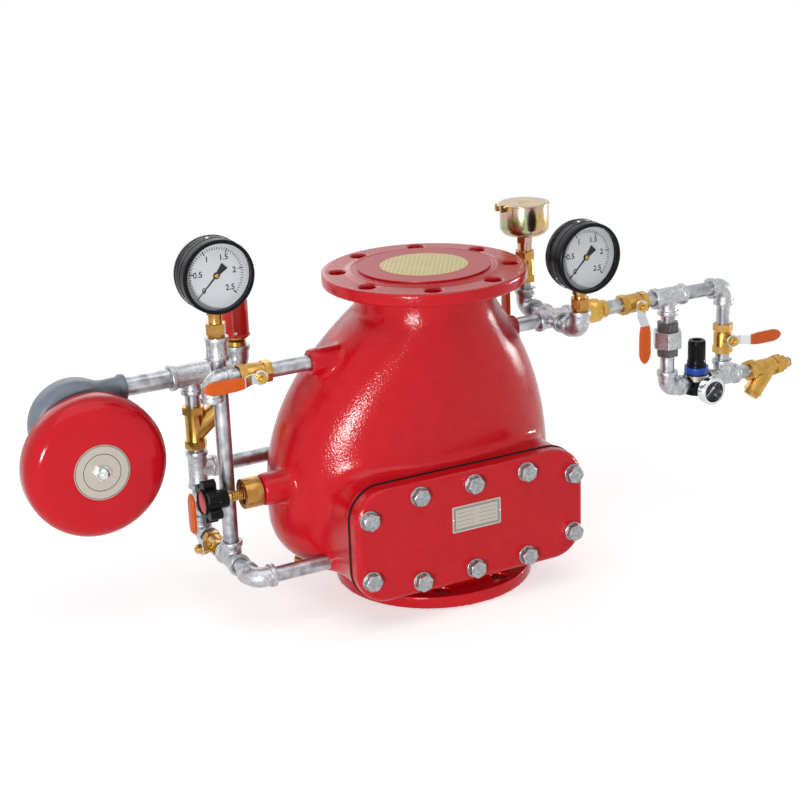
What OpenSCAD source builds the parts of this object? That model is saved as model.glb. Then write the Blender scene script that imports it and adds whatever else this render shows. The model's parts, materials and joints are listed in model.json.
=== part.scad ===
// Dry-pipe sprinkler alarm valve, DN150, with its full trim.
// Millimetres. Z is up along the water way, the inspection cover faces -Y.
// The origin is the centre of the inlet flange's face.

/* [Flanges] */
// Outer diameter of both flanges
flange_d = 285; // [260:1:320]
// Thickness of each flange
flange_t = 20; // [16:0.5:30]
// Diameter of the bolt circle
bolt_circle_d = 240; // [225:1:255]
// Diameter of the flange bolt holes
bolt_hole_d = 23; // [18:0.5:26]
// Number of bolt holes in each flange
bolt_count = 8; // [4:4:12]
// Diameter of the raised sealing face
raised_d = 212; // [190:1:214]
// Height of the raised sealing face
raised_h = 2; // [1:0.5:4]
// Length from the inlet face to the outlet face
face_to_face = 456; // [440:1:500]
// Bore of the water way
bore_d = 150; // [130:1:156]

/* [Body casting] */
// Half of the body's greatest width
belly_half_w = 215; // [205:1:225]
// Distance from the valve axis to the flat front wall
belly_front = 98; // [92:1:106]
// Distance from the valve axis to the back wall
belly_back = 175; // [165:1:190]
// How far the belly's middle lies left of the valve axis
belly_shift_x = 20; // [10:1:30]
// How far the belly's middle lies behind the valve axis
belly_shift_y = 30; // [20:1:45]
// Height at which the belly is widest
belly_z = 136; // [128:1:150]
// Height at which the underside meets the inlet neck
belly_low_z = 42; // [38:1:50]
// Height at which the dome meets the outlet neck
dome_top_z = 404; // [390:1:420]
// Outer diameter of the outlet neck
neck_d = 198; // [186:1:210]
// Outer diameter of the inlet neck
foot_d = 210; // [190:1:220]
// Thickness of the cast wall
wall = 11; // [8:0.5:16]
// How square the belly's front corners are
front_squareness = 2.3; // [2:0.1:3]
// How full the dome is between the belly and the outlet neck
dome_power = 2.3; // [1.6:0.1:3]
// How full the underside is between the belly and the inlet neck
belly_power = 3; // [2:0.1:4]

/* [Inspection cover] */
// Width of the cover plate
cover_w = 355; // [345:1:366]
// Height of the cover plate
cover_h = 163; // [150:1:175]
// Corner radius of the cover plate
cover_r = 46; // [35:1:60]
// Thickness of the cover plate
cover_t = 22; // [16:0.5:28]
// How far the cover's middle lies left of the valve axis
cover_shift_x = 12; // [5:1:20]
// Height of the cover's middle above the inlet face
cover_z = 122; // [114:1:130]
// Distance from the valve axis to the face that the gasket lies on
frame_y = 119.5; // [116:0.5:126]
// Thickness of the gasket
gasket_t = 4; // [2:0.5:6]
// Width of the sealing face around the access opening
seal_land = 35; // [30:1:42]
// Spacing of the bolts along the cover's long sides
cover_pitch = 83.5; // [76:0.5:90]
// Distance from the cover's middle to the top and bottom bolts
cover_bolt_z = 62.4; // [58:0.2:66]
// Distance from the cover's middle to the end bolts, sideways
cover_end_x = 159.5; // [152:0.5:164]
// Distance from the cover's middle to the end bolts, up and down
cover_end_z = 43.8; // [38:0.2:48]
// Diameter of the cover bolts
cover_bolt_d = 12; // [10:1:16]
// Width across the flats of the cover bolts' heads
cover_bolt_af = 22; // [18:1:26]
// Width of the blank data plate
plate_w = 76; // [60:1:90]
// Height of the blank data plate
plate_h = 38; // [30:1:44]

/* [Clapper] */
// Height of the seat's top face
seat_z = 106; // [100:1:112]
// Outer diameter of the brass seat ring
seat_d = 180; // [172:1:188]
// Diameter of the clapper disc
clapper_d = 184; // [178:1:190]
// Thickness of the clapper disc
clapper_t = 12; // [8:0.5:18]
// Thickness of the rubber seal
seal_t = 4; // [2:0.5:6]
// Distance from the valve axis back to the hinge pin
hinge_y = 118; // [114:1:124]
// Diameter of the hinge pin
hinge_d = 12; // [8:1:16]

/* [Pipe and fittings] */
// Outer diameter of the trim pipe
pipe_d = 21.3; // [19:0.1:23]
// Bore of the trim pipe
pipe_bore_d = 16; // [12:0.5:17]
// Outer diameter of the larger pipe to the gong
gong_pipe_d = 26.9; // [24:0.1:28]
// Gap all round between a pipe and its socket
thread_fit = 0.1; // [0.05:0.01:0.2]
// Depth of a threaded socket
socket = 13; // [10:0.5:15]
// Distance from a fitting's middle to its faces
reach = 28; // [26:0.5:31]
// Wall of a malleable fitting
fitting_wall = 3; // [2:0.25:4]
// Height of the rolled band at each mouth of a fitting
band = 2.2; // [1:0.1:3]
// Length of the rolled band at each mouth of a fitting
band_l = 7; // [5:0.5:9]

/* [Ball valves] */
// Length of a brass ball valve
cock_l = 46; // [42:1:52]
// Width across the flats of a ball valve's ends
cock_af = 27; // [26:0.5:32]
// Metal left between the ball and each socket of a ball valve
ball_seat = 1; // [0.5:0.1:2]
// Diameter of the valve stem
stem_d = 8; // [6:0.5:10]
// Height of the gland above the valve's axis
gland_h = 23; // [20:0.5:28]
// Length of a lever from the stem to its tip
lever_l = 86; // [76:1:100]
// Width of the steel lever
lever_w = 14; // [10:0.5:16]
// Thickness of the steel lever
lever_t = 2.5; // [1.5:0.25:4]
// Width of the moulded grip
grip_w = 19; // [17:0.5:24]
// Thickness of the moulded grip
grip_t = 7; // [5:0.5:10]

/* [Pressure gauges] */
// Diameter of the two large gauges
gauge_d = 100; // [90:1:110]
// Depth of the two large gauges
gauge_depth = 46; // [40:1:52]
// Diameter of the regulator's gauge
mini_gauge_d = 43; // [36:1:48]
// Depth of the regulator's gauge
mini_gauge_depth = 20; // [17:0.5:24]

/* [Left trim] */
// Height of the level test line
level_z = 350; // [344:1:356]
// The level test line's place across the body
level_y = -5; // [-8:1:-3]
// Height of the drain valve's axis
drain_z = 180; // [172:1:188]
// Height of the supply line
supply_z = 76; // [70:1:82]
// The supply line's place across the body
supply_y = -52; // [-58:1:-46]
// The riser's distance left of the valve axis
riser_x = 301; // [294:1:308]
// The riser's place across the body
riser_y = 28; // [28:1:32]
// The alarm column's place across the body
alarm_y = 140; // [138:1:146]
// Height of the lower tee of the alarm column
alarm_low_z = 174; // [166:1:180]
// Height of the upper tee of the alarm column
alarm_high_z = 315; // [308:1:322]
// Height of the left gauge's middle
left_gauge_z = 486; // [476:1:500]
// The pressure switch's distance left of the valve axis
switch_x = 229; // [222:1:236]

/* [Water motor gong] */
// Diameter of the bell
bell_d = 200; // [180:1:210]
// Depth of the bell
bell_depth = 45; // [36:1:54]
// Wall of the bell
bell_wall = 2.5; // [1.5:0.25:4]
// Distance of the gong's axis left of the valve axis
gong_x = 465; // [455:1:480]
// Height of the gong's axis
gong_z = 229; // [220:1:240]
// Depth of the motor housing
motor_depth = 44; // [40:1:56]
// Outer radius of the motor housing
motor_r = 64; // [60:1:72]

/* [Right trim] */
// Height of the air line
air_z = 346; // [340:1:352]
// Distance of the cross from the valve axis
cross_x = 210; // [204:1:218]
// Distance of the air tee from the valve axis
air_tee_x = 413; // [406:1:420]
// Distance of the bypass from the valve axis
bypass_x = 517; // [512:1:526]
// Height of the regulator's line
low_air_z = 201; // [192:1:206]
// Distance from the cross forward to the right gauge's elbow
gauge_branch = 70; // [66:1:80]
// Distance from the cross back to the filling line's elbow
fill_branch = 78; // [72:1:88]
// Height of the right gauge's middle
right_gauge_z = 455; // [446:1:466]
// Height of the bottom of the filling cup
cup_z = 456; // [450:1:464]
// Diameter of the filling cup
cup_d = 72; // [66:1:84]
// Height of the filling cup
cup_h = 46; // [38:1:54]
// Wall of the filling cup
cup_wall = 1.6; // [1:0.2:3]
// Diameter of the air hose that the inlet takes
hose_d = 8; // [6:1:10]

/* [Hidden] */
$fn = 64;

// Colours of the finishes
RED = "#c8202a";
BELL_RED = "#c9242c";
BRASS = "#b98f35";
BRONZE = "#a9763a";
ZINC = "#a9acae";
STEEL = "#c9cccd";
BLACK = "#1b1b1d";
RUBBER = "#161616";
ORANGE = "#e8561f";
GREY = "#7d858b";
BLUE = "#2a4fa8";
WHITE = "#f1f3f4";

// A gap that keeps neighbouring pieces apart
gap = 0.3;
// Gap all round a turning pin
running_fit = 0.05;
flange_r = flange_d / 2;
neck_r = neck_d / 2;
foot_r = foot_d / 2;
bore_r = bore_d / 2;
outlet_r = bore_r + 2;
seat_face = 17;
seat_in_r = seat_d / 2 - seat_face;
pipe_r = pipe_d / 2;
gong_pipe_r = gong_pipe_d / 2;
stem_r = stem_d / 2;
hinge_r = hinge_d / 2;
seal_z = seat_z + gap;
clapper_z = seal_z + seal_t;
hinge_z = clapper_z + clapper_t / 2;
cover_x = -cover_shift_x;
plate_back_y = -(frame_y + gasket_t);
plate_front_y = plate_back_y - cover_t;
cover_bolt_r = cover_bolt_d / 2;
washer_t = 2.5;
head_h = 9;
frame_depth = 60;
bolt_bite = 22;
opening_w = cover_w - 2 * seal_land;
opening_h = 2 * (cover_bolt_z - cover_bolt_d);
cover_bolts_at = [for (sx = [-1, 0, 1], sz = [-1, 1]) [sx * cover_pitch, sz * cover_bolt_z],
    for (sx = [-1, 1], sz = [-1, 1]) [sx * cover_end_x, sz * cover_end_z]];

// Rings of the body casting, from the foot to the outlet neck
dome_rise = dome_top_z - belly_z;
belly_drop = belly_z - belly_low_z;
ring_points = 56;
// The share of the way from the belly to the neck at height z
function dome_share(z) = pow((z - belly_z) / dome_rise, dome_power);
function signed_power(v, p) = sign(v) * pow(abs(v), p);
// One ring: share 0 is the neck circle of radius r, share 1 the full belly, taken in by inset
function ring(z, r, share, inset) = [for (i = [0 : ring_points - 1])
    let (
        t = 360 * i / ring_points,
        front = sin(t) < 0,
        power = front ? 2 / (2 + (front_squareness - 2) * share) : 1,
        middle_y = belly_shift_y * share,
        half_w = r + (belly_half_w - r) * share - inset,
        reach_y = front ? belly_front + belly_shift_y : belly_back - belly_shift_y,
        half_d = r + (reach_y - r) * share - inset
    )
    [-belly_shift_x * share + half_w * signed_power(cos(t), power),
        middle_y + half_d * signed_power(sin(t), power), z]];
dome_steps = 13;
belly_steps = 8;
// Rings below the belly follow a superellipse quarter, rings above it the dome's power curve
function lower_rings(inset, low_z) = [for (k = [0 : belly_steps - 1])
    let (
        turn = 90 * k / belly_steps,
        share = pow(sin(turn), 2 / belly_power),
        z = belly_z - belly_drop * pow(cos(turn), 2 / belly_power)
    )
    if (z >= low_z) ring(z, foot_r, share, inset)];
function upper_rings(extra, inset) = [for (k = [0 : dome_steps])
    let (
        z = belly_z + dome_rise * k / dome_steps,
        share = 1 - dome_share(z)
    )
    ring(z, neck_r, share, inset + extra * (1 - share))];
neck_wall = neck_r - bore_r;
outer_rings = concat([ring(flange_t / 2, foot_r, 0, 0)], lower_rings(0, 0),
    upper_rings(0, 0), [ring(face_to_face - flange_t / 2, neck_r, 0, 0)]);
floor_z = belly_low_z + wall;
// The cavity's top closes in a little past the bore, so that the bore's own wall ends it
close_in = 6;
inner_rings = concat(lower_rings(wall, floor_z), upper_rings(neck_wall + close_in - wall, wall));

// Ports of the casting: where each trim line enters
port_r = 17;
level_port_x = -185;
drain_port_x = -266;
supply_port_x = -202;
alarm_port_x = -184;
air_port_x = 146;
// Where the bosses and their ways end inside the casting
level_boss_end = -90;
level_way_end = -100;
drain_boss_end = -190;
drain_way_end = -170;
supply_boss_end = -150;
alarm_boss_end = -90;
alarm_way_end = -110;
air_boss_end = 95;
air_way_end = 100;
drain_r = 23;
drain_bore_r = 14;
drain_seat_x = drain_port_x + 27;
drain_way_r = 9;
bonnet_r = 21;
bonnet_l = 25;
bonnet_bite = 8;
drain_stem_r = 6;
drain_disc_t = 6;
knob_x = drain_port_x - 64;

// Places of the ball valves: middle, line of the pipe, stem and lever
level_cock = [-264, level_y, level_z];
cock_half = cock_l / 2;
ball_r = cock_half - socket - ball_seat;
cock_bore_r = ball_r * 0.72;
test_cock = [-riser_x, (riser_y + alarm_y) / 2, supply_z];
fill_x = cross_x;
fill_cock = [fill_x, fill_branch, 408];
air_cock = [348, 0, air_z];
bypass_cock = [bypass_x, 0, 264];
X = [1, 0, 0];
Y = [0, 1, 0];
Z = [0, 0, 1];

// Places of the gauges: middle of the front of each bezel
gauge_stem_back = 28;
left_gauge = [-riser_x, riser_y - gauge_stem_back, left_gauge_z];
right_gauge = [cross_x, -gauge_branch - gauge_stem_back, right_gauge_z];
regulator_x = (air_tee_x + bypass_x) / 2 + 3;
mini_gauge = [regulator_x, -46, low_air_z - 4];
coupling_z = 368;
coupling_l = 31;
switch_z = alarm_high_z + arm_l(gong_pipe_r);
level_elbow_x = -326;

// Places along the gong's axis
motor_front_y = alarm_y - motor_depth / 2;
motor_back_y = alarm_y + motor_depth / 2;
bell_gap = 13;
rim_y = motor_front_y - bell_gap;
apex_y = rim_y - bell_depth;
spindle_r = 5;
spindle_seat = 2;
spindle_end = 8;
spacer_wall = 3;
sleeve_r = 9;
sleeve_nose = 9;
gong_plate_t = 1;
gong_nut_r = 11;
gong_nut_h = 5;
gong_dome_r = 9;
striker_in = 12;
striker_w = 12;
striker_t = 8;
striker_ball_r = 9;
striker_play = 12;
hub_play = 2;
blade_t = 3;
blade_play = 4;
scroll_x = -gong_x - 8;
scroll_z = gong_z + 47;
motor_wall = 7;
motor_collar_x = -398;

// Places on the right trim
check_x = 259;
check_l = 40;
union_z = 280;
strainer_l = 62;
strainer_x = bypass_x + 80;
left_strainer_z = 238;
inlet_x = strainer_x + strainer_l / 2;
regulator_top = 15;
ring_z = low_air_z + regulator_top;
cup_hinge_x = fill_x - cup_d / 2 - 6;
cup_top_z = cup_z + cup_h;
lid_t = 2;
hinge_pin_r = 2.5;

// Puts children in a frame at p with its X along x_dir and its Z along z_dir
module place(p, x_dir, z_dir) {
    y_dir = cross(z_dir, x_dir);
    multmatrix([[x_dir[0], y_dir[0], z_dir[0], p[0]],
        [x_dir[1], y_dir[1], z_dir[1], p[1]],
        [x_dir[2], y_dir[2], z_dir[2], p[2]]]) children();
}

// A round bar along X, Y or Z between two places
module bar_x(x0, x1, r) {
    translate([x0, 0, 0]) rotate([0, 90, 0]) cylinder(r = r, h = x1 - x0);
}
module bar_y(y0, y1, r) {
    translate([0, y0, 0]) rotate([-90, 0, 0]) cylinder(r = r, h = y1 - y0);
}
module bar_z(z0, z1, r) {
    translate([0, 0, z0]) cylinder(r = r, h = z1 - z0);
}

// A hexagon along X with the given width across its flats
module hex_x(x0, x1, flats) {
    translate([x0, 0, 0]) rotate([0, 90, 0]) cylinder(r = flats / sqrt(3), h = x1 - x0, $fn = 6);
}

// A slab with round corners, seen from -Y, from y0 back to y1
module rounded_slab(w, h, r, y0, y1) {
    translate([0, y0, 0]) rotate([-90, 0, 0]) union() {
        translate([-w / 2 + r, -h / 2, 0]) cube([w - 2 * r, h, y1 - y0]);
        translate([-w / 2, -h / 2 + r, 0]) cube([w, h - 2 * r, y1 - y0]);
        for (sx = [-1, 1], sz = [-1, 1])
            translate([sx * (w / 2 - r), sz * (h / 2 - r), 0]) cylinder(r = r, h = y1 - y0);
    }
}

// A closed skin over a stack of rings with equal numbers of points
module skin(rings) {
    n = ring_points;
    last = len(rings) - 1;
    points = [for (one = rings) for (p = one) p];
    sides = [for (k = [0 : last - 1], i = [0 : n - 1])
        let (j = (i + 1) % n)
        each [[k * n + i, (k + 1) * n + i, (k + 1) * n + j], [k * n + i, (k + 1) * n + j, k * n + j]]];
    low = [[for (i = [0 : n - 1]) i]];
    high = [[for (i = [n - 1 : -1 : 0]) last * n + i]];
    polyhedron(points, concat(sides, low, high));
}

module flange(z0) {
    bar_z(z0, z0 + flange_t - raised_h, flange_r);
}

module flange_holes(z0, z1) {
    for (i = [0 : bolt_count - 1])
        rotate([0, 0, 360 * (i + 0.5) / bolt_count])
            translate([bolt_circle_d / 2, 0, 0]) bar_z(z0, z1, bolt_hole_d / 2);
}

// A tapped port along X: socket from its mouth at x0, then a way through to x1
module port_bore(x0, x1) {
    inward = sign(x1 - x0);
    mouth = x0 - inward;
    root = x0 + inward * socket;
    bar_x(min(mouth, root), max(mouth, root), pipe_r + thread_fit);
    bar_x(min(x0, x1), max(x0, x1), pipe_bore_d / 2);
}

lug_in = 22;
lug_out = 36;
module hinge_lugs() {
    for (s = [-1, 1]) {
        x0 = s > 0 ? lug_in : -lug_out;
        translate([0, hinge_y, hinge_z]) bar_x(x0, x0 + lug_out - lug_in, hinge_r + 7);
        translate([x0, hinge_y, hinge_z - hinge_r - 7])
            cube([lug_out - lug_in, belly_back - wall / 2 - hinge_y, 2 * hinge_r + 14]);
    }
}

module casting() {
    difference() {
        union() {
            skin(outer_rings);
            translate([cover_x, 0, cover_z])
                rounded_slab(cover_w - 2, cover_h - 2, cover_r - 1, -frame_y, -frame_y + frame_depth);
            translate([0, 0, raised_h]) flange(0);
            bar_z(0, flange_t, raised_d / 2);
            flange(face_to_face - flange_t);
            bar_z(face_to_face - flange_t, face_to_face, raised_d / 2);
            translate([0, level_y, level_z]) bar_x(level_port_x, level_boss_end, port_r + 2);
            translate([0, 0, drain_z]) bar_x(drain_port_x, drain_boss_end, drain_r);
            translate([0, supply_y, supply_z]) bar_x(supply_port_x, supply_boss_end, port_r);
            translate([0, alarm_y, alarm_low_z]) bar_x(alarm_port_x, alarm_boss_end, port_r);
            translate([0, 0, air_z]) bar_x(air_boss_end, air_port_x, port_r);
        }
        skin(inner_rings);
        translate([cover_x, 0, cover_z])
            rounded_slab(opening_w, opening_h, cover_r - 10, -frame_y - 1, -frame_y + frame_depth - 10);
    }
}

module valve_body() {
    color(RED) difference() {
        union() {
            casting();
            bar_z(belly_low_z - 10, seat_z - 8, seat_d / 2 + 4);
            hinge_lugs();
        }
        bar_z(-1, seat_z, bore_r);
        bar_z(dome_top_z - 40, face_to_face + 1, outlet_r);
        flange_holes(-1, flange_t + 1);
        flange_holes(face_to_face - flange_t - 1, face_to_face + 1);
        translate([0, hinge_y, hinge_z]) bar_x(-lug_out - 1, lug_out + 1, hinge_r + running_fit);
        for (at = cover_bolts_at)
            translate([cover_x + at[0], 0, cover_z + at[1]])
                bar_y(-frame_y - 1, -frame_y + bolt_bite + 2, cover_bolt_r + thread_fit);
        translate([0, level_y, level_z]) port_bore(level_port_x, level_way_end);
        translate([0, supply_y, supply_z]) port_bore(supply_port_x, supply_boss_end);
        translate([0, alarm_y, alarm_low_z]) port_bore(alarm_port_x, alarm_way_end);
        translate([0, 0, air_z]) port_bore(air_port_x, air_way_end);
        translate([0, 0, drain_z]) {
            bar_x(drain_port_x - 1, drain_seat_x, drain_bore_r);
            bar_x(drain_port_x, drain_way_end, drain_way_r);
        }
    }
}

// Rows of the cover's rounded front edge: inset and depth as shares of its radius
edge_r = 8;
module inspection_cover() {
    color(RED) translate([cover_x, 0, cover_z]) difference() {
        hull() {
            for (sx = [-1, 1], sz = [-1, 1], turn = [0 : 22.5 : 90])
                translate([sx * (cover_w / 2 - cover_r), 0, sz * (cover_h / 2 - cover_r)])
                    bar_y(plate_front_y + edge_r * (1 - sin(turn)), plate_back_y,
                        cover_r - edge_r * (1 - cos(turn)));
        }
        for (at = cover_bolts_at)
            translate([at[0], 0, at[1]]) bar_y(plate_front_y - 1, plate_back_y + 1, cover_bolt_r + gap);
    }
}

module cover_gasket() {
    color(RUBBER) translate([cover_x, 0, cover_z]) difference() {
        rounded_slab(cover_w + 2, cover_h + 2, cover_r + 1, plate_back_y + 0.02,
            plate_back_y + gasket_t);
        rounded_slab(opening_w, opening_h, cover_r - 10, plate_back_y - 1, plate_back_y + gasket_t + 1);
        for (at = cover_bolts_at)
            translate([at[0], 0, at[1]])
                bar_y(plate_back_y - 1, plate_back_y + gasket_t + 1, cover_bolt_r + gap);
    }
}

module cover_bolts() {
    color(ZINC) for (at = cover_bolts_at)
        translate([cover_x + at[0], plate_front_y, cover_z + at[1]]) {
            bar_y(-washer_t, 0, cover_bolt_r + 7.5);
            translate([0, -washer_t, 0]) rotate([90, 15, 0])
                cylinder(r = cover_bolt_af / sqrt(3), h = head_h, $fn = 6);
            bar_y(-washer_t, cover_t + gasket_t + bolt_bite, cover_bolt_r);
        }
}

plate_t = 1;
plate_x = cover_x + 4;
plate_z = cover_z + 15;
module data_plate() {
    color(STEEL) translate([plate_x, plate_front_y - plate_t, plate_z])
        rounded_slab(plate_w, plate_h, 2, 0, plate_t);
}

module outlet_cover() {
    color(RED) bar_z(face_to_face, face_to_face + 2.5, seat_d / 2 + 2);
}

module seat_ring() {
    color(BRASS) difference() {
        bar_z(seat_z - 8, seat_z, seat_d / 2);
        bar_z(seat_z - 9, seat_z + 1, seat_in_r);
    }
}

module hinge_pin() {
    color(STEEL) translate([0, hinge_y, hinge_z]) bar_x(-lug_out, lug_out, hinge_r);
}

module clapper() {
    hub_half = lug_in - 1;
    arm_w = clapper_t * 0.84;
    color(BRONZE) difference() {
        union() {
            bar_z(clapper_z, clapper_z + clapper_t, clapper_d / 2);
            translate([0, 0, clapper_z + clapper_t])
                cylinder(r1 = clapper_d / 4, r2 = clapper_d / 9, h = clapper_t + 2);
            translate([0, hinge_y, hinge_z]) bar_x(-hub_half, hub_half, hinge_r + 6);
            for (s = [-1, 1])
                translate([s * hub_half * 0.62 - arm_w / 2, -clapper_d / 3, clapper_z + clapper_t / 2])
                    cube([arm_w, hinge_y + clapper_d / 3, clapper_t / 2 + 8]);
        }
        translate([0, hinge_y, hinge_z]) bar_x(-hub_half - 1, hub_half + 1, hinge_r + running_fit);
        bar_z(clapper_z - 1, clapper_z + clapper_t * 0.4, seat_in_r - seat_face);
    }
}

module clapper_seal() {
    color(RUBBER) difference() {
        bar_z(seal_z, seal_z + seal_t, seat_d / 2 + 1);
        bar_z(seal_z - 1, seal_z + seal_t + 1, seat_in_r - 1);
    }
}

module drain_bonnet() {
    color(BRONZE) translate([0, 0, drain_z]) difference() {
        union() {
            bar_x(drain_port_x - bonnet_l, drain_port_x, bonnet_r);
            bar_x(drain_port_x, drain_port_x + bonnet_bite, drain_bore_r - thread_fit);
        }
        bar_x(drain_port_x - bonnet_l - 1, drain_port_x - bonnet_l + 9, 14);
        bar_x(drain_port_x - bonnet_l, drain_port_x + bonnet_bite + 1, drain_stem_r + running_fit);
    }
}

module drain_disc() {
    color(BRASS) translate([0, 0, drain_z]) difference() {
        bar_x(drain_seat_x - gap - drain_disc_t, drain_seat_x - gap, drain_bore_r - 1);
        bar_x(drain_seat_x - gap - drain_disc_t - 1, drain_seat_x - gap - 2, 3 + running_fit);
    }
}

stem_tip_x = drain_seat_x - gap - drain_disc_t - gap;
module drain_stem() {
    color(BRASS) translate([0, 0, drain_z]) union() {
        bar_x(knob_x - 16, stem_tip_x, drain_stem_r);
        bar_x(stem_tip_x - 1, stem_tip_x + 3, 3);
    }
}

knob_r = 31;
knob_hub_l = 20;
knob_lobes = 6;
module drain_knob() {
    color(BLACK) translate([knob_x, 0, drain_z]) difference() {
        union() {
            bar_x(-4, knob_hub_l - 4, 13);
            rotate([0, -90, 0]) linear_extrude(height = 18) {
                circle(r = knob_r - 10);
                for (i = [0 : knob_lobes - 1])
                    rotate(360 * i / knob_lobes) translate([knob_r - 8, 0]) circle(r = 8);
            }
        }
        bar_x(-16 - 1, knob_hub_l, drain_stem_r + running_fit);
    }
}

// A length of pipe along X
module pipe_x(x0, x1, r) {
    difference() {
        bar_x(x0, x1, r);
        bar_x(x0 - 1, x1 + 1, r - (pipe_d - pipe_bore_d) / 2);
    }
}
// A pipe between two fittings whose faces lie at a and b along dir, from a point on its axis
module pipe_on(p, dir, a, b, r = pipe_r) {
    up = dir == Z ? X : Z;
    place(p, dir, up) pipe_x(a - socket + 0.5, b + socket - 0.5, r);
}

module pipes() {
    color(ZINC) {
        // left trim
        pipe_on([0, level_y, level_z], X, level_cock[0] + cock_half, level_port_x);
        pipe_on([0, level_y, level_z], X, level_elbow_x + reach, level_cock[0] - cock_half);
        pipe_on([0, supply_y, supply_z], X, -riser_x + reach, supply_port_x);
        pipe_on([-riser_x, 0, supply_z], Y, supply_y + reach, riser_y - reach);
        pipe_on([-riser_x, riser_y, 0], Z, supply_z + reach, coupling_z);
        pipe_on([-riser_x, 0, supply_z], Y, riser_y + reach, test_cock[1] - cock_half);
        pipe_on([-riser_x, 0, supply_z], Y, test_cock[1] + cock_half, alarm_y - reach);
        pipe_on([-riser_x, alarm_y, 0], Z, supply_z + reach, alarm_low_z - reach);
        pipe_on([0, alarm_y, alarm_low_z], X, -riser_x + reach, alarm_port_x);
        pipe_on([-riser_x, alarm_y, 0], Z, alarm_low_z + reach, left_strainer_z - strainer_l / 2);
        pipe_on([-riser_x, alarm_y, 0], Z, left_strainer_z + strainer_l / 2, alarm_high_z - reach);
        pipe_on([0, alarm_y, alarm_high_z], X, motor_collar_x, -riser_x - arm_l(gong_pipe_r), gong_pipe_r);
        pipe_on([0, alarm_y, alarm_high_z], X, -riser_x + arm_l(gong_pipe_r),
            -switch_x - arm_l(gong_pipe_r), gong_pipe_r);
        // right trim
        pipe_on([0, 0, air_z], X, air_port_x, cross_x - reach);
        pipe_on([0, 0, air_z], X, cross_x + reach, check_x);
        pipe_on([0, 0, air_z], X, check_x + check_l, air_cock[0] - cock_half);
        pipe_on([0, 0, air_z], X, air_cock[0] + cock_half, air_tee_x - reach);
        pipe_on([0, 0, air_z], X, air_tee_x + reach, bypass_x - reach);
        pipe_on([cross_x, 0, air_z], Y, -gauge_branch + reach, -reach);
        pipe_on([cross_x, 0, air_z], Y, reach, fill_branch - reach);
        pipe_on([fill_x, fill_branch, 0], Z, air_z + reach, fill_cock[2] - cock_half);
        pipe_on([air_tee_x, 0, 0], Z, union_z + union_half, air_z - reach);
        pipe_on([air_tee_x, 0, 0], Z, low_air_z + reach, union_z - union_half);
        pipe_on([bypass_x, 0, 0], Z, bypass_cock[2] + cock_half, air_z - reach);
        pipe_on([bypass_x, 0, 0], Z, low_air_z + reach, bypass_cock[2] - cock_half);
        pipe_on([0, 0, low_air_z], X, air_tee_x + reach, regulator_x - regulator_half);
        pipe_on([0, 0, low_air_z], X, regulator_x + regulator_half, bypass_x - reach);
        pipe_on([0, 0, low_air_z], X, bypass_x + reach, strainer_x - strainer_l / 2);
    }
}

// Distance from a fitting's middle to its face, for a pipe of radius r
function arm_l(r) = reach + 1.4 * (r - pipe_r);
// One arm of a fitting along X, from x0 to its face, with the rolled band
module arm(r, x0 = 0) {
    bar_x(x0, arm_l(r), r + fitting_wall);
    bar_x(arm_l(r) - band_l, arm_l(r), r + fitting_wall + band);
}
module arm_bore(r, x0 = 0) {
    bar_x(arm_l(r) - socket, arm_l(r) + 1, r + thread_fit);
    bar_x(x0, arm_l(r), pipe_bore_d / 2);
}

// An elbow with its arms along X and Z
module elbow(r = pipe_r) {
    bend = r + fitting_wall + 1;
    difference() {
        union() {
            arm(r, bend);
            rotate([0, -90, 0]) arm(r, bend);
            bend_tube(bend, r + fitting_wall);
        }
        arm_bore(r, bend);
        rotate([0, -90, 0]) arm_bore(r, bend);
        bend_tube(bend, pipe_bore_d / 2);
    }
}
// A quarter of a ring that turns from the X arm to the Z arm
module bend_tube(bend, r) {
    translate([bend, 0, bend]) rotate([90, 0, 0]) rotate([0, 0, 180])
        rotate_extrude(angle = 90) translate([bend, 0]) circle(r = r);
}

module elbows() {
    color(ZINC) {
        place([level_elbow_x, level_y, level_z], X, -Z) elbow();
        place([-riser_x, supply_y, supply_z], X, Y) elbow();
        place([-riser_x, alarm_y, supply_z], -Y, Z) elbow();
        place([-switch_x, alarm_y, alarm_high_z], -X, Z) elbow(gong_pipe_r);
        place([fill_x, fill_branch, air_z], -Y, Z) elbow();
        place([cross_x, -gauge_branch, air_z], Y, Z) elbow();
        place([bypass_x, 0, air_z], -X, -Z) elbow();
        place([air_tee_x, 0, low_air_z], X, Z) elbow();
    }
}

// A tee with its run along X and its branch along Z
module tee(r = pipe_r, branch_r = pipe_r) {
    difference() {
        union() {
            arm(r);
            rotate([0, 0, 180]) arm(r);
            rotate([0, -90, 0]) arm(branch_r);
        }
        arm_bore(r);
        rotate([0, 0, 180]) arm_bore(r);
        rotate([0, -90, 0]) arm_bore(branch_r);
    }
}

module cross_fitting() {
    difference() {
        for (turn = [0 : 90 : 270]) rotate([0, 0, turn]) arm(pipe_r);
        for (turn = [0 : 90 : 270]) rotate([0, 0, turn]) arm_bore(pipe_r);
    }
}

module tees() {
    color(ZINC) {
        place([-riser_x, riser_y, supply_z], Y, Z) tee();
        place([-riser_x, alarm_y, alarm_low_z], Z, X) tee();
        place([-riser_x, alarm_y, alarm_high_z], X, -Z) tee(gong_pipe_r);
        translate([cross_x, 0, air_z]) cross_fitting();
        place([air_tee_x, 0, air_z], X, -Z) tee();
        place([bypass_x, 0, low_air_z], X, Z) tee();
    }
}

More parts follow.
